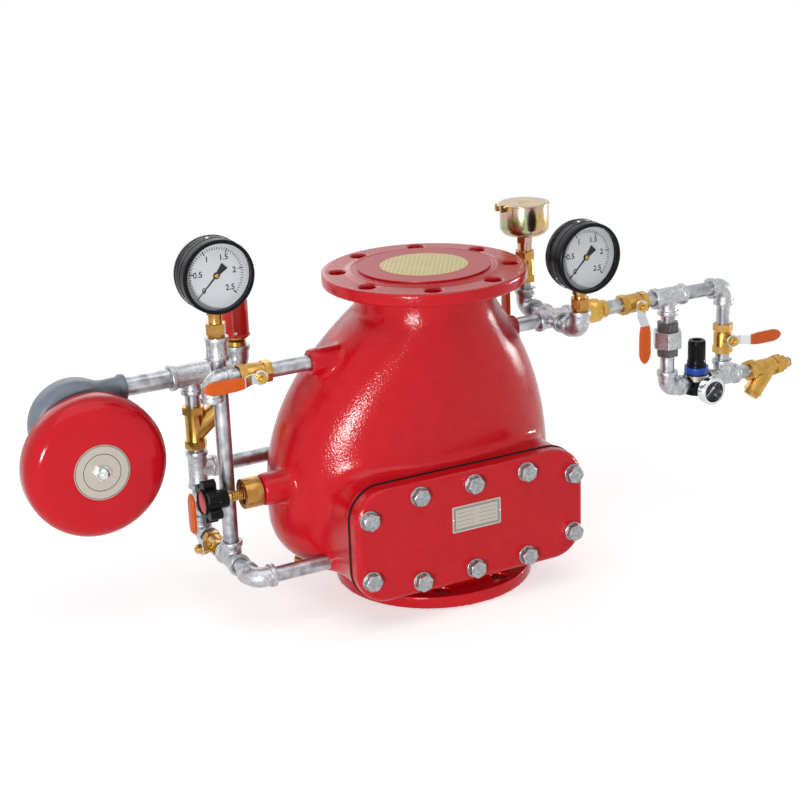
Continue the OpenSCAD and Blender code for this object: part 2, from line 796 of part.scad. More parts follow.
module riser_coupling() {
    color(ZINC) translate([-riser_x, riser_y, coupling_z]) difference() {
        union() {
            bar_z(0, coupling_l, pipe_r + fitting_wall);
            bar_z(0, band_l - 1, pipe_r + fitting_wall + band);
            bar_z(coupling_l - band_l + 1, coupling_l, pipe_r + fitting_wall + band);
            for (turn = [0 : 90 : 270]) rotate([0, 0, turn])
                translate([pipe_r + fitting_wall - 1, -1.5, 1]) cube([band + 0.6, 3, coupling_l - 2]);
        }
        bar_z(-1, coupling_l + 1, pipe_bore_d / 2);
        bar_z(-1, socket, pipe_r + thread_fit);
        bar_z(coupling_l - socket, coupling_l + 1, pipe_r + thread_fit);
    }
}

// A ball valve body with its pipe along X and its stem along Z
module ball_valve() {
    hex_l = 11;
    barrel_r = cock_af / 2 + 0.6;
    difference() {
        union() {
            hex_x(-cock_half, -cock_half + hex_l, cock_af);
            hex_x(cock_half - hex_l, cock_half, cock_af);
            bar_x(-cock_half + hex_l - 1, cock_half - hex_l - 4, barrel_r);
            bar_x(cock_half - hex_l - 4, cock_half - hex_l + 1, barrel_r - 1.6);
            bar_z(0, gland_h - 5, stem_r + 4);
            translate([0, 0, gland_h - 6]) cylinder(r = stem_r + 5.2, h = 6, $fn = 6);
        }
        bar_x(-cock_half - 1, cock_half + 1, cock_bore_r);
        for (s = [-1, 1])
            bar_x(s > 0 ? cock_half - socket : -cock_half - 1, s > 0 ? cock_half + 1 : -cock_half + socket,
                pipe_r + thread_fit);
        sphere(r = ball_r + gap);
        bar_z(0, gland_h + 1, stem_r + running_fit);
    }
}

module ball_valves() {
    color(BRASS) {
        place(level_cock, X, -Y) ball_valve();
        place(test_cock, Y, -X) ball_valve();
        place(fill_cock, Z, -X) ball_valve();
        place(air_cock, X, -Y) ball_valve();
        place(bypass_cock, Z, -Y) ball_valve();
    }
}

// The ball, its stem and the lever nut; the lever lies along X, the stem along Z
lever_z = gland_h + gap;
nut_af = 13;
module ball_and_stem() {
    color(BRASS) {
        difference() {
            union() {
                sphere(r = ball_r);
                bar_z(0, lever_z + lever_t + 8, stem_r);
            }
            bar_x(-2 * ball_r, 2 * ball_r, cock_bore_r);
        }
        difference() {
            translate([0, 0, lever_z + lever_t])
                cylinder(r = nut_af / sqrt(3), h = 5, $fn = 6);
            bar_z(lever_z, lever_z + lever_t + 9, stem_r + running_fit);
        }
    }
}

// Side outline of the bent lever: flat on the stem, stepped out, then straight to the tip
step_out = 9;
step_x0 = 14;
step_x1 = 26;
grip_x = step_x1 + 2;
module lever() {
    color(STEEL) difference() {
        union() {
            rotate([90, 0, 0]) linear_extrude(height = lever_w, center = true)
                polygon([[0, lever_z], [step_x0 + 1, lever_z], [step_x1 + 1, lever_z + step_out],
                    [lever_l - lever_short, lever_z + step_out],
                    [lever_l - lever_short, lever_z + step_out + lever_t],
                    [step_x1, lever_z + step_out + lever_t], [step_x0, lever_z + lever_t],
                    [0, lever_z + lever_t]]);
            bar_z(lever_z, lever_z + lever_t, lever_w / 2 + 3);
        }
        bar_z(lever_z - 1, lever_z + lever_t + 1, stem_r + running_fit);
    }
}

// The moulded sleeve on the lever's straight end, shaped like a leaf
lever_short = 12;
grip_l = lever_l - grip_x;
function grip_half(u) = grip_w / 2 * (u < 0.7 ? 0.8 + 0.2 * sin(90 * min(1, u / 0.3)) :
    pow(max(0, 1 - pow((u - 0.7) / 0.3, 2)), 0.62));
module grip() {
    mid_z = lever_z + step_out + lever_t / 2;
    along = [for (u = [0 : 0.1 : 0.7]) u, for (u = [0.75 : 0.05 : 1]) u];
    color(ORANGE) difference() {
        translate([grip_x, 0, mid_z - grip_t / 2]) linear_extrude(height = grip_t)
            polygon(concat([for (u = along) [grip_l * u, grip_half(u)]],
                [for (i = [len(along) - 2 : -1 : 0]) [grip_l * along[i], -grip_half(along[i])]]));
        translate([0, -lever_w / 2 - thread_fit, lever_z + step_out - thread_fit])
            cube([lever_l - lever_short + thread_fit, lever_w + 2 * thread_fit, lever_t + 2 * thread_fit]);
    }
}

module level_stem() { place(level_cock, -X, -Y) ball_and_stem(); }
module level_lever() { place(level_cock, -X, -Y) lever(); }
module level_grip() { place(level_cock, -X, -Y) grip(); }
module test_stem() { place(test_cock, Z, -X) ball_and_stem(); }
module test_lever() { place(test_cock, Z, -X) lever(); }
module test_grip() { place(test_cock, Z, -X) grip(); }
module fill_stem() { place(fill_cock, -Z, -X) ball_and_stem(); }
module fill_lever() { place(fill_cock, -Z, -X) lever(); }
module fill_grip() { place(fill_cock, -Z, -X) grip(); }
module air_stem() { place(air_cock, -Z, -Y) ball_and_stem(); }
module air_lever() { place(air_cock, -Z, -Y) lever(); }
module air_grip() { place(air_cock, -Z, -Y) grip(); }
module bypass_stem() { place(bypass_cock, X, -Y) ball_and_stem(); }
module bypass_lever() { place(bypass_cock, X, -Y) lever(); }
module bypass_grip() { place(bypass_cock, X, -Y) grip(); }

// A Y strainer with its run along X and its leg leaning from Z towards +X, and the leg's cap
leg_l = 44;
leg_lean = 38;
leg_x = -10;
module y_strainer() {
    half = strainer_l / 2;
    leg_r = pipe_r + 3.4;
    difference() {
        union() {
            bar_x(-half, half, pipe_r + 2.4);
            hex_x(-half, -half + 11, cock_af + 2);
            hex_x(half - 11, half, cock_af + 2);
            translate([leg_x, 0, 0]) rotate([0, leg_lean, 0]) bar_z(0, leg_l, leg_r);
        }
        bar_x(-half - 1, half + 1, pipe_bore_d / 2 - 1);
        for (s = [-1, 1])
            bar_x(s > 0 ? half - socket : -half - 1, s > 0 ? half + 1 : -half + socket, pipe_r + thread_fit);
        translate([leg_x, 0, 0]) rotate([0, leg_lean, 0]) bar_z(5, leg_l + 1, leg_r - 3);
    }
    translate([leg_x, 0, 0]) rotate([0, leg_lean, 0]) {
        bar_z(leg_l - 9, leg_l + 3, leg_r - 3 - thread_fit);
        translate([0, 0, leg_l]) cylinder(r = leg_r + 0.6, h = 4);
        translate([0, 0, leg_l + 4]) cylinder(r = leg_r - 1.5, h = 6, $fn = 6);
    }
}

module strainers() {
    color(BRASS) {
        place([-riser_x, alarm_y, left_strainer_z], Z, X) y_strainer();
        place([strainer_x, 0, low_air_z], -X, -Z) y_strainer();
    }
}

// The brass piece under a gauge, from z0 in the fitting below up to the case at z1
module gauge_connector(z0, z1) {
    bar_z(z0 - socket + 1, z0, pipe_r);
    translate([0, 0, z0]) bar_z(0, 4, pipe_r + 1);
    translate([0, 0, z0 + 4]) cylinder(r = cock_af / sqrt(3) - 1.5, h = 15, $fn = 6);
    bar_z(z0 + 18, z1 - 7, pipe_r - 1.5);
    bar_z(z1 - 8, z1, pipe_r + 0.4);
}

module gauge_connectors() {
    color(BRONZE) {
        translate([-riser_x, riser_y, 0])
            gauge_connector(coupling_z + coupling_l, left_gauge_z - gauge_d / 2 + 2);
        translate([cross_x, -gauge_branch, 0])
            gauge_connector(air_z + reach, right_gauge_z - gauge_d / 2 + 2);
    }
}

// A round gauge that faces -Y, with its front at y = 0
bezel_w = 5;
glass_y = 3;
glass_t = 2;
dial_t = 1;
function dial_y(depth) = min(13, depth * 0.45);
needle_pin_r = 1.2;
module gauge_case(d, depth) {
    seam_y = dial_y(depth) + 3;
    difference() {
        rotate([-90, 0, 0]) rotate_extrude() polygon([[0, 0], [d / 2 - 1.5, 0], [d / 2, 1.5],
            [d / 2, seam_y], [d / 2 - 1.5, seam_y + 1], [d / 2 - 1.5, depth - 5],
            [d / 2 - 5, depth - 1], [d / 2 - 8, depth], [0, depth]]);
        bar_y(-1, glass_y, d / 2 - bezel_w);
        bar_y(glass_y - 0.01, dial_y(depth), d / 2 - bezel_w + 1.5);
        bar_y(dial_y(depth) - 1, dial_y(depth) + 4, needle_pin_r + running_fit);
    }
}
module gauge_dial(d, depth) {
    difference() {
        bar_y(dial_y(depth) - dial_t, dial_y(depth), d / 2 - bezel_w + 1.5 - thread_fit);
        bar_y(0, depth, needle_pin_r + running_fit);
    }
}
module gauge_glass(d) {
    bar_y(glass_y, glass_y + glass_t, d / 2 - bezel_w + 1.5 - thread_fit);
}
// A needle that points to the lower left, its spade tail and its pin
module gauge_needle(d, depth) {
    y0 = dial_y(depth) - dial_t - gap;
    long = d / 2 - bezel_w - 6;
    tail = d * 0.17;
    rotate([0, -135, 0]) {
        translate([0, y0, 0]) rotate([90, 0, 0]) linear_extrude(height = 1) {
            polygon([[-d * 0.012, 0], [d * 0.012, 0], [0.3, long], [-0.3, long]]);
            polygon([[-d * 0.02, 0], [d * 0.02, 0], [d * 0.055, -tail], [-d * 0.055, -tail]]);
            circle(r = d * 0.045);
        }
        bar_y(y0 - 0.5, dial_y(depth) + 3.5, needle_pin_r);
    }
}

// The stem's socket in a case: a flat-bottomed hole up from below
module stem_seat(d) {
    translate([0, gauge_stem_back, -d / 2 - 1]) bar_z(0, 3, pipe_r + 0.4 + thread_fit);
}

module gauge_cases() {
    color(BLACK) for (at = [left_gauge, right_gauge]) translate(at) difference() {
        gauge_case(gauge_d, gauge_depth);
        stem_seat(gauge_d);
    }
}
module gauge_dials() {
    color(WHITE) {
        for (at = [left_gauge, right_gauge]) translate(at) gauge_dial(gauge_d, gauge_depth);
        translate(mini_gauge) gauge_dial(mini_gauge_d, mini_gauge_depth);
    }
}
module gauge_glasses() {
    color("#dfe8ee", 0.35) {
        for (at = [left_gauge, right_gauge]) translate(at) gauge_glass(gauge_d);
        translate(mini_gauge) gauge_glass(mini_gauge_d);
    }
}
module left_needle() { color(BLACK) translate(left_gauge) gauge_needle(gauge_d, gauge_depth); }
module right_needle() { color(BLACK) translate(right_gauge) gauge_needle(gauge_d, gauge_depth); }
module mini_needle() { color(WHITE) translate(mini_gauge) gauge_needle(mini_gauge_d, mini_gauge_depth); }
module mini_gauge_case() {
    color(STEEL) translate(mini_gauge) union() {
        gauge_case(mini_gauge_d, mini_gauge_depth);
        bar_y(mini_gauge_depth - 1, mini_gauge_depth + 13, 5);
    }
}

switch_r = 19;
switch_h = 58;
module switch_base() {
    color(BRASS) translate([-switch_x, alarm_y, switch_z]) {
        bar_z(-socket + 1, 6, gong_pipe_r);
        translate([0, 0, 6]) cylinder(r1 = 11, r2 = switch_r - 1, h = 6);
        bar_z(12, 14, switch_r - 1);
    }
}
module switch_cover() {
    color(RED) translate([-switch_x, alarm_y, switch_z + 14]) difference() {
        rotate_extrude() polygon([[0, 0], [switch_r + 1, 0], [switch_r + 1, 2], [switch_r, 3],
            [switch_r, switch_h - 4], [switch_r - 4, switch_h], [0, switch_h]]);
        bar_z(-1, switch_h - 6, switch_r - 2);
    }
}

module motor_housing() {
    edge = 11;
    color(GREY) difference() {
        union() {
            hull() {
                for (at = [[-gong_x, gong_z], [scroll_x, scroll_z]]) translate([at[0], 0, at[1]]) {
                    bar_y(motor_front_y + edge, motor_back_y - edge, motor_r);
                    bar_y(motor_front_y + 3, motor_back_y - 3, motor_r - 3);
                    bar_y(motor_front_y, motor_back_y, motor_r - edge);
                }
            }
            translate([0, alarm_y, alarm_high_z]) {
                bar_x(scroll_x, motor_collar_x, gong_pipe_r + 2.5);
                bar_x(motor_collar_x - 9, motor_collar_x, gong_pipe_r + fitting_wall + band);
            }
        }
        translate([-gong_x, 0, gong_z])
            bar_y(motor_front_y + motor_wall, motor_back_y - motor_wall, motor_r - motor_wall);
        translate([scroll_x, 0, scroll_z])
            bar_y(motor_front_y + motor_wall + 3, motor_back_y - motor_wall - 3, motor_r - motor_wall - 4);
        translate([0, alarm_y, alarm_high_z]) {
            bar_x(scroll_x, motor_collar_x, pipe_bore_d / 2);
            bar_x(motor_collar_x - socket, motor_collar_x + 1, gong_pipe_r + thread_fit);
        }
        translate([-gong_x, 0, gong_z]) {
            bar_y(motor_front_y - 1, motor_front_y + motor_wall + 1, sleeve_r + running_fit);
            bar_y(motor_back_y - motor_wall - 1, motor_back_y - spindle_seat, spindle_r + running_fit);
        }
    }
}

// The impeller, its sleeve and the striker arm, which turn on the fixed spindle
blades = 8;
striker_y = rim_y - striker_in;
nose_y = striker_y - sleeve_nose;
module gong_rotor() {
    hub_y0 = motor_front_y + motor_wall + hub_play;
    hub_y1 = motor_back_y - motor_wall - hub_play;
    striker_l = bell_d / 2 - bell_wall - striker_play;
    striker_z = striker_w / 2 - striker_l;
    color(STEEL) translate([-gong_x, 0, gong_z]) difference() {
        union() {
            bar_y(nose_y, hub_y1, sleeve_r);
            bar_y(hub_y0, hub_y1, motor_r * 0.31);
            for (i = [0 : blades - 1])
                rotate([0, 360 * i / blades, 0])
                    translate([motor_r * 0.24, hub_y0, -blade_t / 2])
                        cube([motor_r * 0.76 - motor_wall - blade_play, hub_y1 - hub_y0, blade_t]);
            translate([-striker_w / 2, striker_y - striker_t, striker_z])
                cube([striker_w, striker_t, -striker_z]);
            translate([0, striker_y - striker_t / 2, striker_z]) sphere(r = striker_ball_r);
        }
        bar_y(nose_y - 1, hub_y1 + 1, spindle_r + running_fit);
    }
}

module gong_spindle() {
    nut_y = apex_y - gong_plate_t;
    dome_y = nut_y - gong_nut_h;
    color(STEEL) translate([-gong_x, 0, gong_z]) {
        bar_y(apex_y - spindle_end, motor_back_y - spindle_seat, spindle_r);
        intersection() {
            translate([0, dome_y, 0]) sphere(r = gong_dome_r);
            bar_y(apex_y - 4 * spindle_r, dome_y + 0.1, 3 * spindle_r);
        }
        translate([0, nut_y, 0]) rotate([90, 0, 0]) cylinder(r = gong_nut_r, h = gong_nut_h, $fn = 6);
        bar_y(apex_y + bell_wall + thread_fit, nose_y - gap, spindle_r + spacer_wall);
    }
}

// The bell is a shallow dish with a round shoulder, open towards the motor
module gong_bell() {
    shoulder = 26;
    r = bell_d / 2;
    flat = r - shoulder;
    color(BELL_RED) translate([-gong_x, apex_y, gong_z]) rotate([-90, 0, 0]) difference() {
        rotate_extrude() polygon(concat([[spindle_r + thread_fit, 0], [flat * 0.6, 0.6]],
            [for (t = [0 : 10 : 90]) [flat + shoulder * sin(t), 3 + shoulder * (1 - cos(t))]],
            [[r, bell_depth], [r - bell_wall, bell_depth]],
            [for (t = [90 : -10 : 0]) [flat + (shoulder - bell_wall) * sin(t),
                3 + bell_wall + (shoulder - bell_wall) * (1 - cos(t))]],
            [[flat * 0.6, 0.6 + bell_wall], [spindle_r + thread_fit, bell_wall]]));
    }
}

gong_plate_r = 39;
module gong_plate() {
    color(STEEL) translate([-gong_x, 0, gong_z]) difference() {
        bar_y(apex_y - gong_plate_t, apex_y, gong_plate_r);
        bar_y(apex_y - gong_plate_t - 1, apex_y + 1, spindle_r + thread_fit);
    }
}

check_r = cock_af / 2 + 4;
module check_valve() {
    color(BRASS) translate([check_x, 0, air_z]) difference() {
        union() {
            hex_x(0, 12, cock_af + 6);
            rotate([0, 90, 0]) rotate_extrude() polygon([[0, 11], [check_r - 1, 11], [check_r, 13],
                [check_r, check_l - 14], [cock_af / 2, check_l - 9], [cock_af / 2, check_l - 1],
                [cock_af / 2 - 1, check_l], [0, check_l]]);
        }
        bar_x(-1, check_l + 1, cock_bore_r);
        bar_x(-1, socket, pipe_r + thread_fit);
        bar_x(check_l - socket, check_l + 1, pipe_r + thread_fit);
    }
}

union_half = 26;
union_nut_l = 26;
union_nut_af = 40;
union_spigot_r = 15.5;
module union_nut() {
    color(ZINC) translate([air_tee_x, 0, union_z]) difference() {
        translate([0, 0, -union_nut_l / 2]) cylinder(r = union_nut_af / sqrt(3), h = union_nut_l, $fn = 6);
        bar_z(-union_nut_l, union_nut_l, union_spigot_r + thread_fit);
    }
}
module union_ends() {
    color("#55585b") for (s = [-1, 1]) translate([air_tee_x, 0, union_z]) difference() {
        union() {
            bar_z(s > 0 ? gap / 2 : -union_nut_l / 2, s > 0 ? union_nut_l / 2 : -gap / 2, union_spigot_r);
            translate([0, 0, s > 0 ? union_nut_l / 2 : -union_half])
                cylinder(r = 30 / sqrt(3), h = union_half - union_nut_l / 2, $fn = 6);
        }
        bar_z(-union_half - 1, union_half + 1, pipe_bore_d / 2);
        bar_z(s > 0 ? union_half - socket : -union_half - 1, s > 0 ? union_half + 1 : -union_half + socket,
            pipe_r + thread_fit);
    }
}

regulator_half = 19;
regulator_r = 19;
module regulator_body() {
    color(BLACK) translate([regulator_x, 0, low_air_z]) difference() {
        union() {
            bar_z(-17, regulator_top, regulator_r);
            bar_x(-regulator_half, regulator_half, pipe_r + 3.5);
            bar_z(regulator_top, regulator_top + 14, regulator_r - 4);
        }
        for (s = [-1, 1])
            bar_x(s > 0 ? regulator_half - socket : -regulator_half - 1,
                s > 0 ? regulator_half + 1 : -regulator_half + socket, pipe_r + thread_fit);
        translate([0, 0, mini_gauge[2] - low_air_z])
            bar_y(mini_gauge[1] + mini_gauge_depth, 0, 5 + thread_fit);
        bar_z(regulator_top + 8, regulator_top + 15, 5 + running_fit);
    }
}
module regulator_ring() {
    color(BLUE) translate([regulator_x, 0, ring_z]) difference() {
        bar_z(0, 11, regulator_r - 0.5);
        bar_z(-1, 12, regulator_r - 4 + thread_fit);
    }
}
regulator_knob_z = ring_z + 14 + gap;
module regulator_knob() {
    ribs = 24;
    color(BLACK) translate([regulator_x, 0, regulator_knob_z]) union() {
        difference() {
            union() {
                rotate_extrude() polygon([[0, 0], [14.5, 0], [14.5, 5], [13.6, 7], [13.1, 36],
                    [12, 38], [0, 38]]);
                for (i = [0 : ribs - 1]) rotate([0, 0, 360 * i / ribs])
                    translate([12.9, 0, 8]) cylinder(r = 0.7, h = 26, $fn = 6);
            }
            translate([0, 0, 36]) bar_z(0, 3, 7);
        }
        bar_z(-5, 1, 5);
    }
}

module air_inlet() {
    color(BRASS) translate([inlet_x, 0, low_air_z]) difference() {
        union() {
            bar_x(-socket + 1, 0, pipe_r);
            hex_x(0, 9, cock_af - 4);
            bar_x(9, 18, 8.5);
        }
        bar_x(-socket, 19, hose_d / 2 - 1.5);
        bar_x(4, 19, hose_d / 2);
    }
}

module fill_cup() {
    r = cup_d / 2;
    round_r = 13;
    color("#c8b878") translate([fill_x, fill_branch, cup_z]) union() {
        difference() {
            rotate_extrude() polygon(concat([[0, 0]],
                [for (t = [0 : 15 : 90]) [r - round_r + round_r * sin(t), round_r * (1 - cos(t))]],
                [[r, cup_h], [r - cup_wall, cup_h]],
                [for (t = [90 : -15 : 0]) [r - round_r + (round_r - cup_wall) * sin(t),
                    cup_wall + (round_r - cup_wall) * (1 - cos(t))]],
                [[0, cup_wall]]));
            bar_z(-1, cup_wall + 1, 5);
        }
        difference() {
            union() {
                bar_z(fill_cock[2] + cock_half - cup_z - socket + 1, 0, pipe_r);
                translate([0, 0, -12]) cylinder(r = 12.5, h = 12, $fn = 6);
            }
            bar_z(-60, 1, 5);
        }
        difference() {
            for (y0 = [-9, 4]) translate([cup_hinge_x - fill_x - 2.5, y0, cup_h - 7]) {
                cube([11, 5, 5]);
                cube([5, 5, 10.5]);
            }
            bar_z(-1, cup_h + 10, r - cup_wall / 2);
            translate([cup_hinge_x - fill_x, 0, cup_h + hinge_pin_r - 1]) bar_y(-20, 20, 1.3);
        }
        translate([cup_hinge_x - fill_x, 0, cup_h + hinge_pin_r - 1]) bar_y(-9, 9, 1.3);
    }
}

module cup_lid() {
    r = cup_d / 2 + 1.5;
    color("#c8b878") translate([fill_x, fill_branch, cup_top_z + gap]) difference() {
        union() {
            rotate_extrude() polygon([[0, lid_t], [r - 5, lid_t], [r, 0.8], [r, 0], [r - 5, 0], [0, 0]]);
            translate([cup_hinge_x - fill_x, -3.5, 0]) cube([r - (fill_x - cup_hinge_x) + 20, 7, lid_t]);
            translate([cup_hinge_x - fill_x, 0, hinge_pin_r - 1 - gap]) bar_y(-3.5, 3.5, hinge_pin_r);
        }
        translate([cup_hinge_x - fill_x, 0, hinge_pin_r - 1 - gap]) bar_y(-5, 5, 1.3 + running_fit);
    }
}

valve_body();
inspection_cover();
cover_gasket();
cover_bolts();
data_plate();
outlet_cover();
seat_ring();
hinge_pin();
clapper();
clapper_seal();
drain_bonnet();
drain_disc();
drain_stem();
drain_knob();
pipes();
elbows();
tees();
riser_coupling();
ball_valves();
level_stem();
level_lever();
level_grip();
test_stem();
test_lever();
test_grip();
fill_stem();
fill_lever();
fill_grip();
air_stem();
air_lever();
air_grip();
bypass_stem();
bypass_lever();
bypass_grip();
strainers();
gauge_connectors();
gauge_cases();
gauge_dials();
gauge_glasses();
left_needle();
right_needle();
mini_needle();
mini_gauge_case();
switch_base();
switch_cover();
motor_housing();
gong_rotor();
gong_spindle();
gong_bell();
gong_plate();
check_valve();
union_nut();
union_ends();
regulator_body();
regulator_ring();
regulator_knob();
air_inlet();
fill_cup();
cup_lid();
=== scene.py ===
"""Looks of a dry-pipe sprinkler alarm valve with its trim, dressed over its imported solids."""

import json
import logging
import math
from dataclasses import dataclass
from enum import Enum
from typing import Any, Iterable, Optional, Sequence

import bmesh
import bpy
import numpy as np
from mathutils import Matrix, Vector

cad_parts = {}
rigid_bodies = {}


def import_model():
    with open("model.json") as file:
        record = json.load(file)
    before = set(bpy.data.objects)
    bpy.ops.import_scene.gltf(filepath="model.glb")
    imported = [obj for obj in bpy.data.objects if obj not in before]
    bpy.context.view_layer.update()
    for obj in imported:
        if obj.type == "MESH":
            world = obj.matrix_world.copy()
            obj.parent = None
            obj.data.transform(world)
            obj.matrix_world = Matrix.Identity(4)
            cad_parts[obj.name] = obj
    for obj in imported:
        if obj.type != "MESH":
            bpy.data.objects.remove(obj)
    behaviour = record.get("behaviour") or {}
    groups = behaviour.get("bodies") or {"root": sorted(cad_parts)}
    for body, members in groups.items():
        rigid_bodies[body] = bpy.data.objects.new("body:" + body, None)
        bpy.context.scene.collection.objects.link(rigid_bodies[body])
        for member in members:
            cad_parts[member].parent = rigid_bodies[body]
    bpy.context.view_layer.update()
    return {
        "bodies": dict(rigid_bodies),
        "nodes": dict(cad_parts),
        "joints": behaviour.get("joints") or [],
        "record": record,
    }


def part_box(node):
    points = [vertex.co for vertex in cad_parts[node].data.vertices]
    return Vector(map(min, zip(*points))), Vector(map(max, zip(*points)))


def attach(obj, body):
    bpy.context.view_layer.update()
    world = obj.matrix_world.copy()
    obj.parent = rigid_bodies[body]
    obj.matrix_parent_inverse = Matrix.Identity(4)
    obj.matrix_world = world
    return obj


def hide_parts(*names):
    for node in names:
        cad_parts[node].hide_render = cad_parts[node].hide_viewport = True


LOG = logging.getLogger("alarm_valve")
MM = 0.001
FIXED = "fixed"
# Points closer than this are one point, and each rounded edge has this many steps.
WELD_MM = 0.004
BEVEL_STEPS = 3
# Hexagon heads: points round the head, radius of the flat crown over the flats, slope of the chamfer.
HEAD_STEPS = 48
CROWN_SHARE = 0.475
CHAMFER_DEG = 32.0
# The small gauge's dial is the one beyond this x, in metres.
MINI_DIAL_X = 0.4
Colour = tuple[float, float, float, float]
Point = tuple[float, float, float]
Profile = Sequence[tuple[float, float]]


def srgb(code: str) -> Colour:
    """Turns an sRGB hex colour into linear light.

    Args:
        code: Six hex digits after a hash sign.

    Returns:
        Linear red, green and blue with an alpha of 1.
    """
    parts = [int(code[i : i + 2], 16) / 255 for i in (1, 3, 5)]
    linear = [c / 12.92 if c <= 0.04045 else ((c + 0.055) / 1.055) ** 2.4 for c in parts]
    return (linear[0], linear[1], linear[2], 1.0)


def add(
    tree: bpy.types.NodeTree,
    kind: str,
    links: Optional[dict[Any, Any]] = None,
    **settings: Any,
) -> bpy.types.Node:
    """Adds one shader node.

    Args:
        tree: The material's node tree.
        kind: Blender's type name of the node.
        links: Socket name or number to a value, or to the output socket that feeds it.
        settings: Properties of the node itself.

    Returns:
        The new node.
    """
    node = tree.nodes.new(kind)
    for key, value in settings.items():
        setattr(node, key, value)
    for key, value in (links or {}).items():
        if isinstance(value, bpy.types.NodeSocket):
            tree.links.new(value, node.inputs[key])
        else:
            node.inputs[key].default_value = value
    return node


class Pattern(Enum):
    """How a surface was made, which decides what its pattern looks like."""

    MOULDED = "fine even grain from a mould"
    PEBBLED = "thick coat over a sand casting, like orange peel"
    SPANGLED = "hot dip zinc, grey crystals and dull patches"
    DRAWN = "welded pipe with streaks and stains"
    FORGED = "forged and shot blasted, then turned"
    BRUSHED = "lines from a belt"
    PASSIVATED = "thin oxide film with bands of colour"
    HATCHED = "crossing printed lines"


@dataclass(frozen=True)
class Finish:
    """A surface finish and the shader that shows it."""

    name: str
    colour: str
    second: str
    pattern: Pattern
    grain_mm: float
    roughness: float
    spread: float = 0.06
    metallic: float = 0.0
    bump_mm: float = 0.05
    alpha: float = 1.0
    ior: float = 1.5

    def material(self) -> bpy.types.Material:
        """Makes the material once and returns it ever after."""
        made = bpy.data.materials.get(self.name)
        return made if made else self._build()

    def _build(self) -> bpy.types.Material:
        """Builds the shader: a pattern drives colour, roughness and bump."""
        made = bpy.data.materials.new(self.name)
        made.use_nodes = True
        tree = made.node_tree
        shader = tree.nodes["Principled BSDF"]
        where = add(tree, "ShaderNodeTexCoord").outputs["Object"]
        share, relief = self._pattern(tree, where)
        shader.inputs["Metallic"].default_value = self.metallic
        if self.metallic == 0.0:
            shader.inputs["IOR"].default_value = self.ior
        shader.inputs["Alpha"].default_value = self.alpha
        ramp = add(tree, "ShaderNodeValToRGB", {"Fac": share})
        self._colours(ramp.color_ramp)
        rough = add(
            tree,
            "ShaderNodeMapRange",
            {"Value": share, "To Min": self.roughness - self.spread, "To Max": self.roughness + self.spread},
        )
        bump = add(
            tree,
            "ShaderNodeBump",
            {"Height": relief, "Strength": 1.0, "Distance": self.bump_mm * MM},
        )
        tree.links.new(ramp.outputs["Color"], shader.inputs["Base Color"])
        tree.links.new(rough.outputs["Result"], shader.inputs["Roughness"])
        tree.links.new(bump.outputs["Normal"], shader.inputs["Normal"])
        return made

    def _colours(self, ramp: bpy.types.ColorRamp) -> None:
        """Sets the ramp from the first colour to the second, or the film's bands."""
        ramp.elements[0].color = srgb(self.colour)
        ramp.elements[1].color = srgb(self.second)
        if self.pattern is Pattern.PASSIVATED:
            ramp.elements[0].position = 0.3
            ramp.elements[1].position = 0.72
            for place, code in ((0.4, "#c4ac72"), (0.5, "#c79f98"), (0.58, "#a3b189")):
                ramp.elements.new(place).color = srgb(code)
        else:
            ramp.elements[0].position = 0.35
            ramp.elements[1].position = 0.7

    def _pattern(
        self, tree: bpy.types.NodeTree, where: bpy.types.NodeSocket
    ) -> tuple[bpy.types.NodeSocket, bpy.types.NodeSocket]:
        """Draws the pattern.

        Args:
            tree: The material's node tree.
            where: Coordinates in metres, in the piece's own frame.

        Returns:
            The sockets that drive colour and relief.
        """
        scale = 1.0 / (self.grain_mm * MM)
        fine = add(tree, "ShaderNodeTexNoise", {"Vector": where, "Scale": scale, "Detail": 3.0})
        wide = add(tree, "ShaderNodeTexNoise", {"Vector": where, "Scale": scale / 7, "Detail": 4.0})
        if self.pattern in (Pattern.SPANGLED, Pattern.FORGED):
            cell = add(tree, "ShaderNodeTexVoronoi", {"Vector": where, "Scale": scale / 2})
            mixed = add(tree, "ShaderNodeMix", {0: 0.55, 2: wide.outputs["Fac"], 3: cell.outputs["Color"]})
            return mixed.outputs[0], fine.outputs["Fac"]
        if self.pattern is Pattern.HATCHED:
            turned = add(
                tree,
                "ShaderNodeMapping",
                {"Vector": where, "Rotation": (0.0, 0.0, math.radians(32)), "Scale": (scale, scale, scale)},
            )
            brick = add(
                tree,
                "ShaderNodeTexBrick",
                {
                    "Vector": turned.outputs["Vector"],
                    "Scale": 1.0,
                    "Mortar Size": 0.025,
                    "Color1": (0.3, 0.3, 0.3, 1.0),
                    "Color2": (0.4, 0.4, 0.4, 1.0),
                    "Mortar": (1.0, 1.0, 1.0, 1.0),
                },
            )
            return brick.outputs["Color"], fine.outputs["Fac"]
        if self.pattern is Pattern.BRUSHED:
            drawn = add(tree, "ShaderNodeMapping", {"Vector": where, "Scale": (1.0, 1.0, 24.0)})
            line = add(
                tree, "ShaderNodeTexNoise", {"Vector": drawn.outputs["Vector"], "Scale": scale, "Detail": 2.0}
            )
            return line.outputs["Fac"], line.outputs["Fac"]
        if self.pattern is Pattern.PEBBLED:
            peel = add(
                tree,
                "ShaderNodeTexVoronoi",
                {"Vector": where, "Scale": scale, "Smoothness": 1.0},
                feature="SMOOTH_F1",
            )
            mixed = add(tree, "ShaderNodeMix", {0: 0.6, 2: peel.outputs["Distance"], 3: fine.outputs["Fac"]})
            return wide.outputs["Fac"], mixed.outputs[0]
        return wide.outputs["Fac"], fine.outputs["Fac"]


